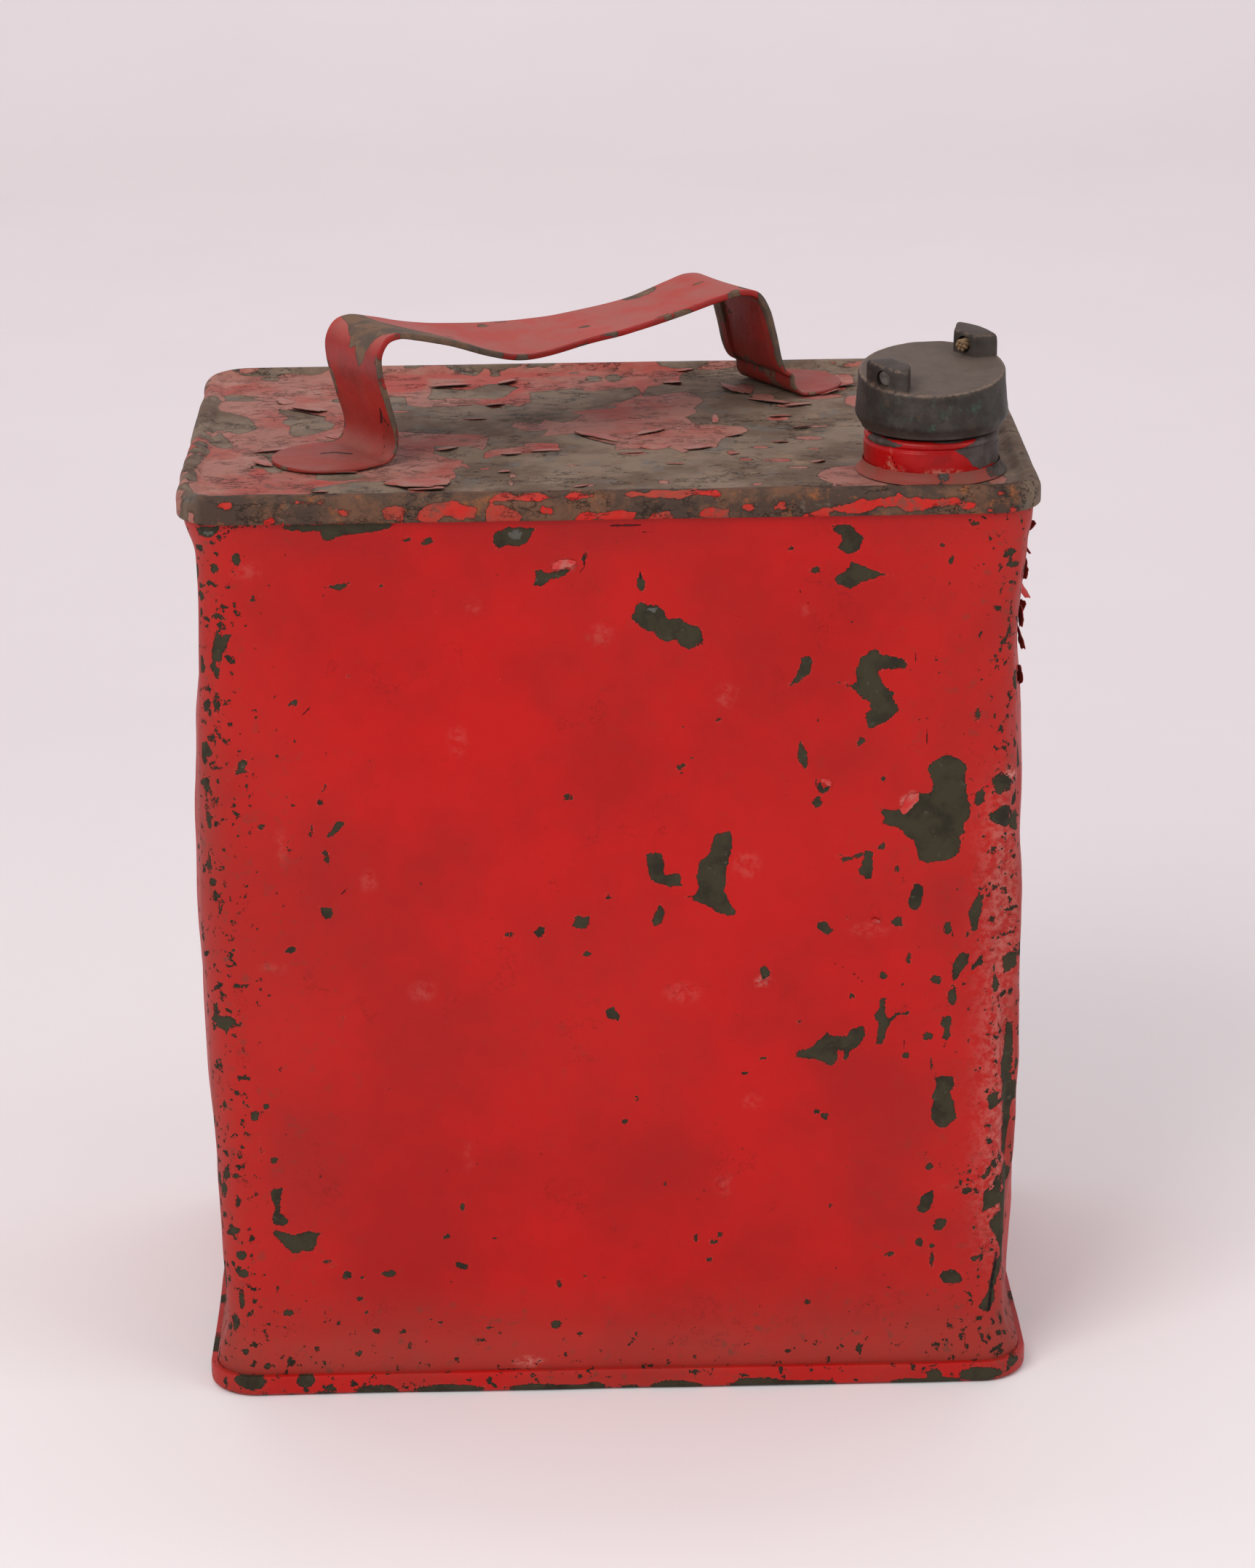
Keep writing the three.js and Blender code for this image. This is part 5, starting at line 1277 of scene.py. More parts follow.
def handle():
    span = float(np.hypot(*(RIGHT_FOOT - LEFT_FOOT)))
    foot_top = GAP + STRAP + 0.1
    legs = []
    for side, reach in ((-1, 14), (1, 8)):
        mm = [
            (reach + FOOT_R, foot_top), (reach, foot_top), (7, foot_top), (2.8, foot_top + 0.5),
            (0.8, foot_top + 2.6), (0.2, foot_top + 6),
        ]
        legs.append([(-s, z) for s, z in mm] if side < 0 else [(span + s, z) for s, z in mm][::-1])
    line = centripetal(legs[0] + [(s * span, z * RISE) for s, z in LINE] + legs[1], 40)
    step = np.hypot(*np.diff(line, axis=0).T)
    run = np.concatenate([[0], np.cumsum(step)])
    length = run[-1]
    ends = FOOT_R * (1 - np.cos(np.linspace(0.06, 1, 20) * np.pi / 2))
    mid = np.linspace(FOOT_R, length - FOOT_R, 250)[1:-1]
    d = np.concatenate([ends, mid, length - ends[::-1]])
    at = np.stack([np.interp(d, run, line[:, k]) for k in (0, 1)], -1)
    ahead = np.stack(
        [np.interp(d + 0.4, run, line[:, k]) - np.interp(d - 0.4, run, line[:, k]) for k in (0, 1)], -1
    )
    ahead /= np.linalg.norm(ahead, axis=1)[:, None]
    up = np.stack([-ahead[:, 1], ahead[:, 0]], -1)
    end = np.minimum(d, length - d)
    half = np.where(end < FOOT_R, np.sqrt(np.maximum(FOOT_R**2 - (FOOT_R - end) ** 2, 0)), FOOT_R)
    half = half + (STRAP_W / 2 - half) * smooth(FOOT_R, FOOT_R + 12, end)
    crown = smooth(4, 16, at[:, 1])
    share = at[:, 0] / span
    twist = np.zeros(len(d))
    for (s0, a0), (s1, a1) in zip(TWIST[:-1], TWIST[1:]):
        on = (share >= s0) & (share < s1)
        twist[on] = np.radians(a0 + (a1 - a0) * smooth(s0, s1, share[on]))
    twist *= crown
    hem = 0.1 + 0.9 * crown
    rings, ws, kinds = [], [], []
    for k in range(len(d)):
        h, low = half[k], -STRAP - hem[k]
        r = min(0.48, h * 0.3)
        inner = h - min(4.5, 0.4 * h)
        dish = 0.3 * crown[k]
        side = [(w, -dish * (1 - (w / h) ** 2)) for w in np.linspace(0, h - r, 15)]
        side += [(h - r + r * math.sin(a), -r + r * math.cos(a)) for a in np.linspace(0.35, np.pi / 2, 4)]
        side += [(h - r + r * math.cos(a), low + r - r * math.sin(a)) for a in np.linspace(0, np.pi / 2, 4)]
        side += [
            ((h + inner) / 2, low), (inner + 0.15, low + 0.05), (inner - 0.2, -STRAP - dish * 0.2),
            (inner * 0.5, -STRAP - dish * 0.75),
        ]
        kind = [0] * 15 + [1] * 8 + [2] * 4
        sec = np.array(side + [(-w, n) for w, n in side[::-1][:-1]])
        kinds.append(kind + kind[::-1][:-1])
        ws.append(sec[:, 0])
        across = (
            np.array([0, -math.cos(twist[k]), 0]) + np.array([up[k, 0], 0, up[k, 1]]) * -math.sin(twist[k])
        )
        normal = (
            np.array([up[k, 0], 0, up[k, 1]]) * math.cos(twist[k]) + np.array([0, -math.sin(twist[k]), 0])
        )
        rings.append(np.array([at[k, 0], 0, at[k, 1]]) + sec[:, :1] * across + sec[:, 1:] * normal)
    rings = np.array(rings)
    a = math.atan2(*(RIGHT_FOOT - LEFT_FOOT)[::-1])
    rot = np.array([[math.cos(a), -math.sin(a), 0], [math.sin(a), math.cos(a), 0], [0, 0, 1]])
    rings = rings @ rot.T + [LEFT_FOOT[0], LEFT_FOOT[1], PLATE_Z]
    shape = rings.shape
    flat = rings.reshape(-1, 3)
    lump = 0.10 * fbm(flat, 22, 111, 2) * np.repeat(crown, shape[1])
    flat[:, 2] -= np.abs(lump)
    verts, faces = loft(flat.reshape(shape))
    s = np.repeat(d, shape[1])
    w = np.array(ws).ravel()
    kind = np.array(kinds).ravel()
    height = np.repeat(at[:, 1], shape[1])
    slope = np.repeat(up[:, 1], shape[1])
    crest = d[np.argmax(at[:, 1])]
    right = np.repeat(share, shape[1]) > 0.5
    patch = [
        (
            -9, -2, -5, -8, -3, -16, 4, -16, 5, -6, 9, 0, 17, 6, 25, 13, 29, 17, 8, 17, 0, 16, -6, 11,
            -15, 7, -17, 4, -11, 2, -12, -1,
        ),
        (103, -14, 6, 3), (128, 12, 5, 3), (45, -12, 2.2, 1.2), (72, 3, 2, 1), (-24, -14.5, 6, 1.2),
        (118, -3, 2.4, 0.8), (24, 4, 1.6, 0.9),
    ]
    bare = np.where(kind < 2, shapes_field(s - crest, w, patch), -4)
    edge_bare = 1.6 * noise(verts[:len(s)], 5, 113) + 0.9 * noise(verts[:len(s)], 2.2, 114)
    leg = 1 - smooth(0.35, 0.75, np.abs(slope))
    edge_bias = np.where(right, 1.2, 1.0) * leg + np.where(height > 6, -0.45, -0.9) * (1 - leg)
    bare = np.where(kind == 1, np.maximum(bare, edge_bias + edge_bare), bare)
    near_edge = np.abs(w) > np.repeat(half, shape[1]) - 1.6
    bare = np.where(
        (kind == 0) & near_edge, np.maximum(bare, -0.9 + 1.3 * noise(verts[:len(s)], 6, 117)), bare
    )
    bare = np.where(kind == 2, -0.6 + 1.3 * noise(verts[:len(s)], 9, 118), bare)
    up_facing = smooth(0.15, 0.85, slope) * (kind == 0)
    dust = 0.08 + 0.82 * up_facing + 0.2 * (1 - smooth(3, 20, height)) * (kind < 2)
    # Painted shade, brown on the underside and low on the legs, less on the lit front edge of the right leg
    painted_shade = (
        np.where(kind == 2, 0.75, 0.15 + 0.6 * (1 - smooth(2, 16, height)))
        * (1 - 0.6 * (right & (w > 4) & (height > 6) & (height < 32)))
    )
    # Painted shadow lines: one under the deck paint's lifted edge by the left foot, others at the strap's
    # crest
    gap_shadow = np.maximum(
        lines_field(verts[:len(s), 0], verts[:len(s), 1], [(0.9, -84, -30, -80, -28.6, -75.5, -30.6)]), -5
    )
    gap_shadow = np.where((height < 5) & (kind == 0), gap_shadow, -5)
    gap_shadow = np.maximum(
        gap_shadow,
        np.where(
            kind == 0,
            lines_field(
                s - crest, w,
                [
                    (0.4, -36, 8, -40, 9, -45, 11.5), (0.8, -34, 8.6, -31, 10.4, -29, 11),
                    (0.7, -31, 10.4, -34, 13),
                ],
            ),
            -5,
        ),
    )

    def pad(values, fill):
        """The values with two more, for the middles of the ends."""
        return np.concatenate([values, [fill, fill]])

    make(
        "carry_handle", verts, faces, handle_material(), "can", ["handle"], "worn_paint", 50,
        {
            "bare": pad(bare, -4), "gap_shadow": pad(gap_shadow, -5), "dust": pad(np.clip(dust, 0, 1), 0.7),
            "painted_shade": pad(painted_shade, 0.1),
        },
    )


handle()

# ---- Neck and its solder -------------------------------------------------------------------------
AROUND = 192


def thread_height(angle, z, low, crest_half, root_half, turns):
    """0 to 1 across a screw ridge whose middle starts at height low where angle is 0."""
    turn = (z - low) / PITCH - angle / (2 * np.pi)
    k = np.round(turn)
    off = np.abs(turn - k) * PITCH
    wound = k + angle / (2 * np.pi)
    full = smooth(-0.01, 0.2, wound) * smooth(-0.01, 0.2, turns - wound)
    return np.clip((root_half - off) / (root_half - crest_half), 0, 1) * full


def neck():
    bore = THREAD_R - THREAD_DEPTH + 0.36
    a = np.linspace(0, 2 * np.pi, AROUND, endpoint=False)
    low = PLATE_UNDER - GAP - 1.0
    prof = [
        (COLLAR_R + 1.5, low), (COLLAR_R + 1.5, low + 1.0), (COLLAR_R, low + 1.0),
        (COLLAR_R, PLATE_Z + GAP), (NECK_R, PLATE_Z + GAP),
    ]
    wall = rounded(
        [
            (NECK_R, PLATE_Z + GAP), (NECK_R, NECK_MOUTH - 3.4), (NECK_R - 0.5, NECK_MOUTH - 3),
            (NECK_R - 0.5, NECK_MOUTH - 2.4), (NECK_R - 0.08, NECK_MOUTH - 1.9),
            (NECK_R - 0.15, NECK_MOUTH - 0.9), (18.6, NECK_MOUTH), (bore + 0.6, NECK_MOUTH),
            (bore, NECK_MOUTH - 0.6),
        ],
        0.45, 3,
    )
    prof = np.vstack([prof, dense(wall, 0.45)[1:]])
    rings = turned(prof, AROUND)
    zs = np.arange(NECK_MOUTH - 0.75, low + 0.1, -0.16)
    Z, A = np.meshgrid(zs, a, indexing="ij")
    groove = thread_height(A, Z, THREAD_LOW - PITCH, 0.566, 1.26, 40) * (Z > 282.0)
    r = bore + groove * THREAD_DEPTH
    bore_rings = np.stack([NECK[0] + r * np.cos(A), NECK[1] + r * np.sin(A), Z], -1)
    rings = np.concatenate([rings, bore_rings, turned([(bore, low)], AROUND)])
    verts, faces = loft(rings, closed_loop=True)
    x, y, z = verts.T
    out = np.hypot(x - NECK[0], y - NECK[1])
    ang = np.arctan2(x - NECK[0], -(y - NECK[1]))
    arc = ang * NECK_R
    outside = out > 17.2
    worn = np.clip(0.07 * noise(verts, 12, 121) - 0.06, -0.2, 0)
    verts[:, :2] += ((verts[:, :2] - NECK) / out[:, None]) * np.where(outside & (z > 281), worn, 0)[:, None]
    patch = [
        (5, 290, 9, 287.5, 11, 284.8, 14, 283.5, 20, 284, 24, 283, 62, 283, 62, 293, 14, 292.6, 9, 290.8),
        (-24, 293, -10, 291.4, -12, 290.4, -20, 289.8, -26, 290.5),
    ]
    bare = np.maximum(
        np.where(outside, shapes_field(arc, z, patch), 5),
        1.3 * noise(verts, 7, 123) - 1.5 + 1.9 * smooth(291.6, 292.5, z),
    )
    dust = -0.1 + 0.85 * (1 - smooth(280.8, 284.2, z)) + 0.2 * smooth(290.6, 291.6, z)
    make(
        "neck_ring", verts, faces, neck_paint, "can", ["filler_neck"], "neck_brass", 40,
        {
            "bare": bare, "dust": dust,
            "gap_shadow": lines_field(arc, z, [(0.35, -14, 288, -12, 284), (0.3, -6, 281.5, 4, 282)]),
            "pale": smooth(
                -1, 0.6,
                shapes_field(
                    arc, z,
                    [
                        (-14.5, 285, 0.7, 2.6), (-12.4, 284, 1.6, 0.7), (-17, 283, 1.6, 0.7),
                        (2, 283.3, 5, 0.9),
                    ],
                ),
            ),
        },
    )


def solder():
    r0, z0 = NECK_R + GAP, PLATE_Z + GAP
    prof = [
        (r0, z0 + 3.2), (r0, z0), (r0 + 2.0, z0), (r0 + 1.95, z0 + 0.12), (r0 + 0.9, z0 + 0.96),
        (r0 + 0.3, z0 + 2.08),
    ]
    prof = np.vstack([prof[:3], dense(rounded(prof[2:] + [prof[0]], 0.4, 3), 0.3)[1:-1]])
    rings = turned(prof, AROUND)
    verts, faces = loft(rings, closed_loop=True)
    n = len(verts)
    ang = np.arctan2(verts[:, 0] - NECK[0], -(verts[:, 1] - NECK[1]))
    make(
        "neck_fillet", verts, faces, neck_paint, "can", ["neck_solder"], "red_paint", 60,
        {
            "bare": 1.4 * noise(verts, 6, 131) - 1.0 + 1.6 * smooth(0.6, 1.6, ang),
            "dust": np.clip(1.0 + 0.35 * noise(verts, 6, 133), 0, 1), "gap_shadow": np.full(n, -5.0),
            "pale": np.zeros(n),
        },
    )


neck_paint = neck_material()
neck()
solder()


# ---- Cap, washer and cord ------------------------------------------------------------------------
def slope_z(x, y, z):
    """A height on the cap's axis carried out to x, y along the cap's slope."""
    return z - SLOPE * (x * math.cos(SLOPE_AT) + y * math.sin(SLOPE_AT))


def lug_shape(angle):
    reach = math.asin(8.3 / LUG_R)
    arc = [(LUG_R * math.cos(t), LUG_R * math.sin(t)) for t in np.linspace(-reach, reach, 9)]
    foot = dense(rounded([(LUG_FACE, -4.2), *arc, (LUG_FACE, 4.2)], 0.9, 3, True), 0.7, True)
    middle = foot.mean(0)
    rings = []
    levels = [(f, 0.0, 0.0) for f in np.linspace(0, 1, 14)[:-1]]
    levels += [(1, -1.0, 0.05), (1, -0.45, 0.28), (1, -0.12, 0.7), (1, 0, 1.3), (1, 0, 2.4), (1, 0, 3.4)]
    for f, drop, inset in levels:
        q = foot + (middle - foot) * (inset / 4.6)
        x, y = (
            q[:, 0] * math.cos(angle) - q[:, 1] * math.sin(angle),
            q[:, 0] * math.sin(angle) + q[:, 1] * math.cos(angle),
        )
        low, high = 299.5, slope_z(x, y, CAP_TOP + LUG_RISE) - (1.0 if f < 1 else 0)
        rings.append(np.stack([x + NECK[0], y + NECK[1], low + (high - low) * f + drop], -1))
    return loft(rings)


def drilling(angle):
    """The middle of a lug's drilling on the cap's axis, its direction, and two directions across it."""
    rise = -SLOPE * math.cos(angle - SLOPE_AT)
    along = np.array([math.cos(angle), math.sin(angle), rise])
    along /= np.linalg.norm(along)
    side = np.array([-math.sin(angle), math.cos(angle), 0])
    return np.array([NECK[0], NECK[1], CAP_TOP + 2.9]), along, side, np.cross(along, side)


def lug_bar(angle, radius, start, end, steps=40):
    """A round bar along the drilling of a lug, from one distance to another from the axis."""
    centre, along, side, up = drilling(angle)
    a = np.linspace(0, 2 * np.pi, steps, endpoint=False)
    rings = [
        centre + along * s + radius * (np.cos(a)[:, None] * side + np.sin(a)[:, None] * up)
        for s in (start, end)
    ]
    return loft(rings)


def cap():
    a = np.linspace(0, 2 * np.pi, AROUND, endpoint=False)
    root = THREAD_R - THREAD_DEPTH
    rings = [
        turned([r], AROUND)[0]
        for r in dense(
            rounded(
                [(0.4, 305.5), (11, 305.5), (11, PLUG_LOW), (root - 0.6, PLUG_LOW), (root, PLUG_LOW + 0.6)],
                0.5, 3,
            ),
            1.4,
        )
    ]
    for z in np.arange(PLUG_LOW + 0.7, SEAT - 0.1, 0.16):
        r = root + THREAD_DEPTH * thread_height(a, z, THREAD_LOW, 0.35, 0.9, 2.4)
        rings.append(np.stack([NECK[0] + r * np.cos(a), NECK[1] + r * np.sin(a), np.full(AROUND, z)], -1))
    lip = rounded(
        [
            (root, SEAT - 0.05), (root, SEAT), (18.7, SEAT), (18.7, CAP_LOW), (20.3, CAP_LOW),
            (22.0, 296.3), (22.3, 297.2), (CAP_R, CAP_SIDE_LOW),
        ],
        0.45, 3,
    )
    rings += [turned([r], AROUND)[0] for r in dense(lip, 0.7)[1:]]
    for f in np.linspace(0, 1, 15)[1:]:
        r = CAP_R + (CAP_EDGE_R - CAP_R) * f
        x, y = r * np.cos(a), r * np.sin(a)
        top = slope_z(x, y, CAP_TOP) - 0.7
        rings.append(np.stack([x + NECK[0], y + NECK[1], CAP_SIDE_LOW + (top - CAP_SIDE_LOW) * f], -1))
    for r, drop in [(21.32, 0.4), (21.12, 0.16), (20.8, 0.03)] + [(r, 0) for r in np.linspace(20.2, 0.5, 28)]:
        x, y = r * np.cos(a), r * np.sin(a)
        rings.append(np.stack([x + NECK[0], y + NECK[1], slope_z(x, y, CAP_TOP) - drop], -1))
    o = make("screw_cap", *loft(rings), bronze, "cap", ["cap"], "dark_brass")
    spare = []
    for angle in (REAR_LUG, FRONT_LUG):
        piece = make("lug", *lug_shape(angle), bronze, "cap")
        bar = make("bar", *lug_bar(angle, DRILL_R, LUG_FACE - 1, 25), bronze, "cap")
        m = piece.modifiers.new("drill", "BOOLEAN")
        m.operation, m.object, m.solver = "DIFFERENCE", bar, "EXACT"
        apply_modifiers(piece)
        m = o.modifiers.new("join", "BOOLEAN")
        m.operation, m.object, m.solver = "UNION", piece, "EXACT"
        spare += [piece, bar]
    apply_modifiers(o)
    for s in spare:
        bpy.data.objects.remove(s)
    p = points_of(o)
    n = np.zeros(len(p) * 3, np.float32)
    o.data.vertices.foreach_get("normal", n)
    n = n.reshape(-1, 3)
    rel = p[:, :2] - NECK
    r = np.hypot(*rel.T)
    outer = ((r > 19.2) & (p[:, 2] > 293.6)) | (p[:, 2] > 304)
    outer &= ~((r < 12) & (p[:, 2] < 306))
    p += n * np.where(outer, 0.10 * fbm(p, 4.5, 141, 3) + 0.10 * fbm(p, 14, 145, 2) - 0.14, 0)[:, None]
    o.data.vertices.foreach_set("co", (p * 0.001).ravel().astype(np.float32))
    o.data.update()
    top = slope_z(rel[:, 0], rel[:, 1], CAP_TOP)
    over = p[:, 2] - top
    dust = (
        smooth(0.45, 0.95, n[:, 2]) * (1 - 0.75 * smooth(2, 5.5, over))
        + 0.25 * np.exp(-(((over - 0.5) / 2.5) ** 2)) * (r < 20.5)
    )
    dust += 0.25 * smooth(291, 294, p[:, 2]) * (1 - smooth(294, 297, p[:, 2]))
    ang = np.arctan2(rel[:, 0], -rel[:, 1])
    green = np.exp(-(((ang - 0.05) / 0.75) ** 2)) * (over < -1) * smooth(295, 297, p[:, 2])
    leaning = 4 * np.abs(n[:, 2]) * (1 - np.abs(n[:, 2]))
    lip_edge = np.exp(-((over / 0.55) ** 2)) * (r > 20.4)
    edge = lip_edge + np.exp(-(((over - 6.4) / 0.5) ** 2)) * smooth(0.2, 0.8, leaning)
    put(o, "dust", np.clip(dust, 0, 1))
    put(o, "green", green)
    put(o, "edge", np.clip(edge, 0, 1))


def seal_disc():
    centre, along, side, up = drilling(FRONT_LUG)
    a = np.linspace(0, 2 * np.pi, 40, endpoint=False)
    rings = []
    for s, r in [(14.2, 2.25), (20.1, 2.25), (20.32, 2.1), (20.25, 1.6), (20.05, 1.0), (20.0, 0.3)]:
        wob = r * (1 + 0.02 * np.sin(5 * a))
        rings.append(
            centre + along * s + wob[:, None] * (np.cos(a)[:, None] * side + np.sin(a)[:, None] * up)
        )
    make(
        "lug_plug", *loft(rings),
        plain_detail("dull_lead", srgb(62, 56, 52), srgb(96, 89, 82), 2.2, 0.6, 0.15), "cap",
    )


def cord_stub():
    centre, along, side, up = drilling(REAR_LUG)
    parts = []
    rng = np.random.default_rng(7)
    cord_start, cord_end = LUG_FACE - 1.6, LUG_FACE + 4.4
    for k in range(7):
        phase = 2 * np.pi * k / 6
        core = k == 6
        d = np.linspace(0, 1, 26)
        twist = phase + d * 2.4
        off = 0.0 if core else 1.12
        fray = 0.35 * rng.random() * np.clip(1 - d * 5, 0, 1)
        path = centre + np.outer(cord_start + 0.1 + d * (cord_end - cord_start - 0.2), along)
        path = path + (off + fray)[:, None] * (np.cos(twist)[:, None] * side + np.sin(twist)[:, None] * up)
        a = np.linspace(0, 2 * np.pi, 12, endpoint=False)
        rr = (0.6 + 0.05 * rng.random()) * (0.55 + 0.45 * smooth(0, 0.08, d))
        rings = (
            path[:, None, :]
            + rr[:, None, None] * (np.cos(a)[None, :, None] * side + np.sin(a)[None, :, None] * up)
        )
        parts.append(loft(rings))
    make(
        "cord_remnant", *join_parts(parts),
        plain_detail("old_cord", srgb(110, 84, 60), srgb(158, 126, 92), 0.9, 0.85, 0.2), "cap",
        ["seal_stub"], "seal_cord", 60,
    )


bronze = cap_material()
cap()
seal_disc()
cord_stub()
washer = rounded([(16.3, 292.8), (18.4, 292.8), (18.4, 294.4), (16.3, 294.4)], 0.35, 4, True)
make(
    "rubber_washer", *loft(turned(washer, 120), closed_loop=True),
    plain_detail("old_rubber", srgb(26, 22, 19), srgb(52, 44, 38), 3.0, 0.75, 0.1), "washer",
    ["cap_washer"], "washer_rubber", 60,
)


# ---- Loose flakes of paint -----------------------------------------------------------------------
def flake(rng, centre, out, along, length, width, lift, curl):
    """A thin curled chip of paint. out points away from the sheet, and along points to the lifted edge."""
    out, along = np.array(out, float), np.array(along, float)
    along -= out * (along @ out)
    along /= np.linalg.norm(along)
    side = np.cross(out, along)
    a = np.linspace(0, 2 * np.pi, 30, endpoint=False)
    ragged = (
        1
        + sum(
            size * np.sin(waves * a + rng.uniform(0, 6))
            for size, waves in ((0.16, 2), (0.11, 3), (0.08, 7))
        )
    )
    ragged = ragged + 0.07 * rng.uniform(-1, 1, 30)
    skins = []
    for thick in (0.24, 0.0):
        rings = []
        for q in (0.04, 0.3, 0.55, 0.78, 0.93, 1.0):
            s, t = 0.5 * width * q * ragged * np.cos(a), 0.5 * length * q * ragged * np.sin(a)
            v = t / length + 0.5
            h = lift * np.clip(v, 0, 1.2) ** curl + 0.12 * lift * np.sin(3 * s / width + 1)
            p = np.array(centre) + np.outer(s, side) + np.outer(t, along) + np.outer(h + 0.05 + thick, out)
            rings.append(p)
        skins.append(np.array(rings))
    top, under = skins
    v, f = loft(np.concatenate([top, under[::-1]]))
    under_side = np.concatenate([np.zeros(6 * 30), np.ones(6 * 30), [0, 1]])
    return v, f, under_side


def flakes(name, rows, red, slot):
    rng = np.random.default_rng(len(rows) + 3)
    parts, under = [], []
    for centre, out, along, length, width, lift, curl in rows:
        v, f, u = flake(rng, centre, out, along, length, width, lift, curl)
        parts.append((v, f))
        under.append(u)
    v, f = join_parts(parts)
    make(
        name, v, f, loose_paint, "can", (), slot, 60,
        {"under": np.concatenate(under), "red": np.full(len(v), red)},
    )


loose_paint = flake_material()
UP = (0, 0, 1)
# On the plate: x, y, direction in degrees, length, width, lift
DECK_FLAKES = [
    (-47, 58.5, -85, 6, 13, 1.5), (-29, 62, -55, 5, 7, 1.6), (-90, 29.5, -125, 6, 11, 1.5),
    (-98, 40, 150, 5, 6, 1.2), (-2, -10, -140, 7, 15, 1.6), (13, -5.5, -55, 5, 13, 1.3),
    (15, -24, 120, 5, 8, 1.1), (27, -25.5, -70, 5, 9, 1.1), (23, 58, -80, 5, 6, 1.2),
    (27, 75, -60, 6, 5, 1.2), (-33, 32, -80, 4, 6, 1.3), (-39, 14, -90, 3, 6, 1.0),
    (-96, -20, -75, 5, 14, 1.3), (-101, -36, -150, 5, 9, 1.4), (-55, -62, -100, 14, 17, 1.6),
    (-52, -68, -80, 6, 9, 1.3), (-47, -22, -60, 4, 8, 1.2), (-28, -29, -90, 4, 6, 1.0),
    (-18, -26, -90, 4, 8, 1.0), (-78, -47.5, -95, 4, 10, 1.1), (42, 47, 200, 7, 14, 2.2),
    (52, 31, -120, 6, 12, 1.7), (60, 26, -80, 5, 8, 1.3), (71, 42, -40, 5, 7, 1.7),
    (76, 50, -60, 4, 7, 1.6), (60, -2, -80, 2.5, 5, 1.2), (39, -11, -60, 3, 5, 1.1),
    (34, 8, 80, 5, 2.2, 1.6), (52, -20, -95, 2.5, 5, 0.9), (75, -75, -100, 5, 14, 1.0),
    (92, -76.4, -92, 3.5, 16, 1.0), (62, -44, -60, 3, 4, 1.0), (38, -33, -90, 4, 3, 1.0),
    (8, -30, -90, 3, 6, 0.9), (-83, -70, -95, 3, 5, 1.0), (-8, -68, -70, 3, 4, 0.9),
    (20, -44, -100, 3, 5, 0.9), (-30, -50, -80, 3, 4, 0.9), (-81, -5, 60, 3, 6, 1.1),
    (54, 12, -90, 3, 6, 1.0),
]
flakes(
    "loose_flakes_top",
    [
        (
            (x, y, PLATE_Z - 0.1), UP, (math.cos(math.radians(a)), math.sin(math.radians(a)), 0), l, w,
            0.55 * h, 1.5,
        )
        for x, y, a, l, w, h in DECK_FLAKES
    ],
    0.0, "worn_paint",
)


def on_wall(panel, t, turn, z, out, along, *shape):
    """A flake that stands on the sleeve at a place of its outline."""
    base = sleeve_inset(panel, t, turn, z)
    x, y, nx, ny = (float(v) for v in outline(panel, t, turn, base))
    push = float(dents(np.array([[x, y, z]]), np.array([run_length(panel, t, turn)]), np.array([z]))[0])
    return ((x + nx * (push - 0.15), y + ny * (push - 0.15), z), out, along, *shape)


STRAIGHT = WIDTH - 2 * CORNER_R
FRONT = (0, -1, 0)
FRONT_FLAKES = [
    on_wall(0, x / STRAIGHT + 0.5, 0, z, FRONT, along, *shape)
    for x, z, along, *shape in (
        (86.6, 186.8, (0.75, 0, -0.66), 3.4, 6.5, 1.5, 1.5), (-13.5, 260, (0.15, 0, -1), 2.6, 6, 1.2, 1.4),
        (44, 131.8, (0, 0, 1), 1.6, 2.6, 0.8, 1.5), (62.4, 193.6, (-0.3, 0, -1), 1.8, 3, 0.6, 1.5),
        (77, 150, (0.4, 0, 1), 1.6, 2.4, 0.7, 1.5),
    )
]
flakes("loose_flakes_front", FRONT_FLAKES, 1.0, "red_paint")
RIGHT = (1, -0.1, 0)
SIDE_FLAKES = [
    on_wall(1, t, 0, z, RIGHT, along, *shape)
    for t, z, along, *shape in (
        (0.01, 266, (0.1, -0.4, 0.9), 3, 2.6, 1.8, 1.3), (0.03, 259, (0, -0.5, -0.8), 5, 4, 2.4, 1.4),
        (0.04, 252, (0, -1, 0.5), 4, 6, 2.0, 1.2), (0.06, 245, (0, 0.3, -1), 5.5, 5, 2.6, 1.5),
        (0.05, 237, (0, -1, -0.4), 4, 8, 1.4, 1.3), (0.09, 229, (0, -0.7, -0.7), 6, 9, 2.2, 1.3),
        (0.05, 219, (0, -1, 0.3), 3, 5, 1.4, 1.3), (0.12, 250, (0, -0.2, -1), 6, 8, 2.6, 1.6),
        (0.14, 236, (0, -0.6, 1), 5, 7, 2.2, 1.4),
    )
]
flakes("loose_flakes_side", SIDE_FLAKES, 1.0, "red_paint")

# ---- Floor, lights and camera --------------------------------------------------------------------


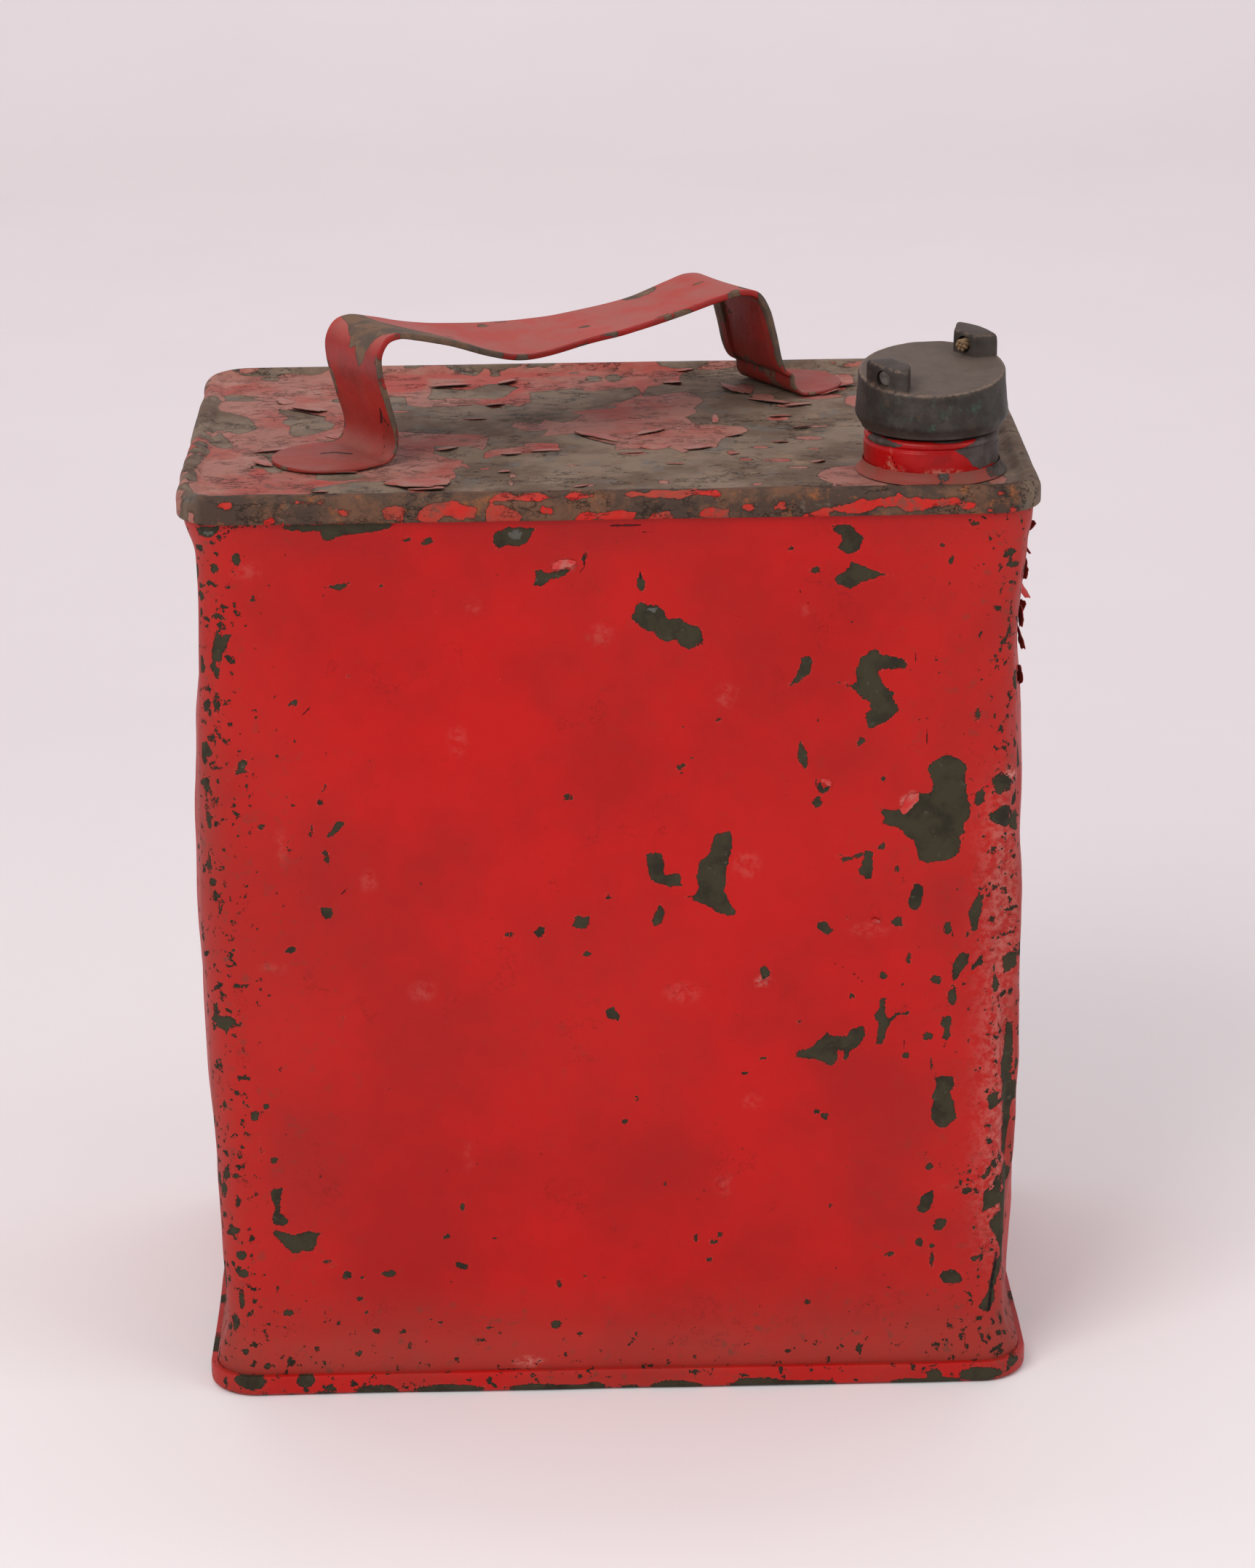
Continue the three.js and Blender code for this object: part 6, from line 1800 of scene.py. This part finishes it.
def backdrop():
    """A floor that turns up into a wall far behind the can, in one sweep."""
    prof = (
        [(-2.2, 0.0), (1.9, 0.0)]
        + [(1.9 + 0.9 * math.sin(a), 0.9 - 0.9 * math.cos(a)) for a in np.linspace(0.1, np.pi / 2, 14)]
        + [(2.8, 4.0)]
    )
    verts = [(x, y, z - 0.0002) for y, z in prof for x in np.linspace(-4, 4, 9)]
    mesh = bpy.data.meshes.new("floor_sweep")
    mesh.from_pydata(verts, [], [tuple(q) for q in grid_quads(len(prof), 9)])
    mesh.polygons.foreach_set("use_smooth", [True] * len(mesh.polygons))
    o = bpy.data.objects.new("floor_sweep", mesh)
    bpy.context.scene.collection.objects.link(o)
    s = Shade("paper")
    split = s.add("ShaderNodeSeparateXYZ")
    s.feed(split.inputs[0], s.add("ShaderNodeTexCoord").outputs["Object"])
    # The sweep is painted darker further back: painted shade where it turns up into the wall
    depth = s.step(split.outputs["Y"], -0.25, 0.7)
    cloud = s.noise(160, 3)
    colour = s.mix(depth, s.mix(cloud, FLOOR_NEAR, FLOOR_NEAR_2), s.mix(cloud, FLOOR_FAR_SHADE, FLOOR_FAR_SHADE_2))
    mesh.materials.append(s.finish(colour, 0.92, s.times(s.noise(3, 2), 0.02)))


def area_light(name, at, aim, size, watts, colour):
    data = bpy.data.lights.new(name, "AREA")
    data.shape, data.size, data.energy, data.color = "SQUARE", size, watts, colour
    o = bpy.data.objects.new(name, data)
    o.location = at
    o.rotation_euler = (Vector(aim) - Vector(at)).to_track_quat("-Z", "Y").to_euler()
    bpy.context.scene.collection.objects.link(o)


FLOOR_NEAR, FLOOR_NEAR_2 = srgb(245, 240, 240), srgb(240, 235, 236)
# The far colours are darker as painted shade
FLOOR_FAR_SHADE, FLOOR_FAR_SHADE_2 = srgb(226, 217, 219), srgb(221, 212, 214)
backdrop()
CAN_MIDDLE = (0, 0, 0.15)
area_light("key", (-1.3, -1.7, 2.1), CAN_MIDDLE, 1.5, 38, (1.0, 0.97, 0.955))
area_light("fill", (1.9, -1.0, 1.2), CAN_MIDDLE, 1.6, 11, (0.97, 0.98, 1.0))
area_light("wall", (0, 0.9, 2.6), (0, 2.7, 1.3), 2.0, 27, (1.0, 0.985, 1.0))
world = bpy.data.worlds.new("studio")
world.use_nodes = True
world.node_tree.nodes["Background"].inputs["Color"].default_value = (0.93, 0.93, 0.95, 1)
world.node_tree.nodes["Background"].inputs["Strength"].default_value = 0.6
bpy.context.scene.world = world
bpy.context.scene.view_settings.view_transform = "Standard"

# The camera looks a little to the right and 18.5 degrees down, from 1.34 m in front
CAMERA_AT = (-0.0234, -1.3378, 0.6147)
yaw, pitch, roll = math.radians(1.26), math.radians(18.51), math.radians(-0.59)
look = Vector((math.sin(yaw) * math.cos(pitch), math.cos(yaw) * math.cos(pitch), -math.sin(pitch)))
right = Vector((math.cos(yaw), -math.sin(yaw), 0))
over = right.cross(look)
camera = bpy.data.objects.new("camera", bpy.data.cameras.new("camera"))
camera.data.lens, camera.data.sensor_width, camera.data.clip_end = 104.4, 36, 50
tilt_right = math.cos(roll) * right + math.sin(roll) * over
tilt_up = -math.sin(roll) * right + math.cos(roll) * over
camera.matrix_world = (
    Matrix.Translation(CAMERA_AT) @ Matrix((tilt_right, tilt_up, -look)).transposed().to_4x4()
)
bpy.context.scene.collection.objects.link(camera)
bpy.context.scene.camera = camera
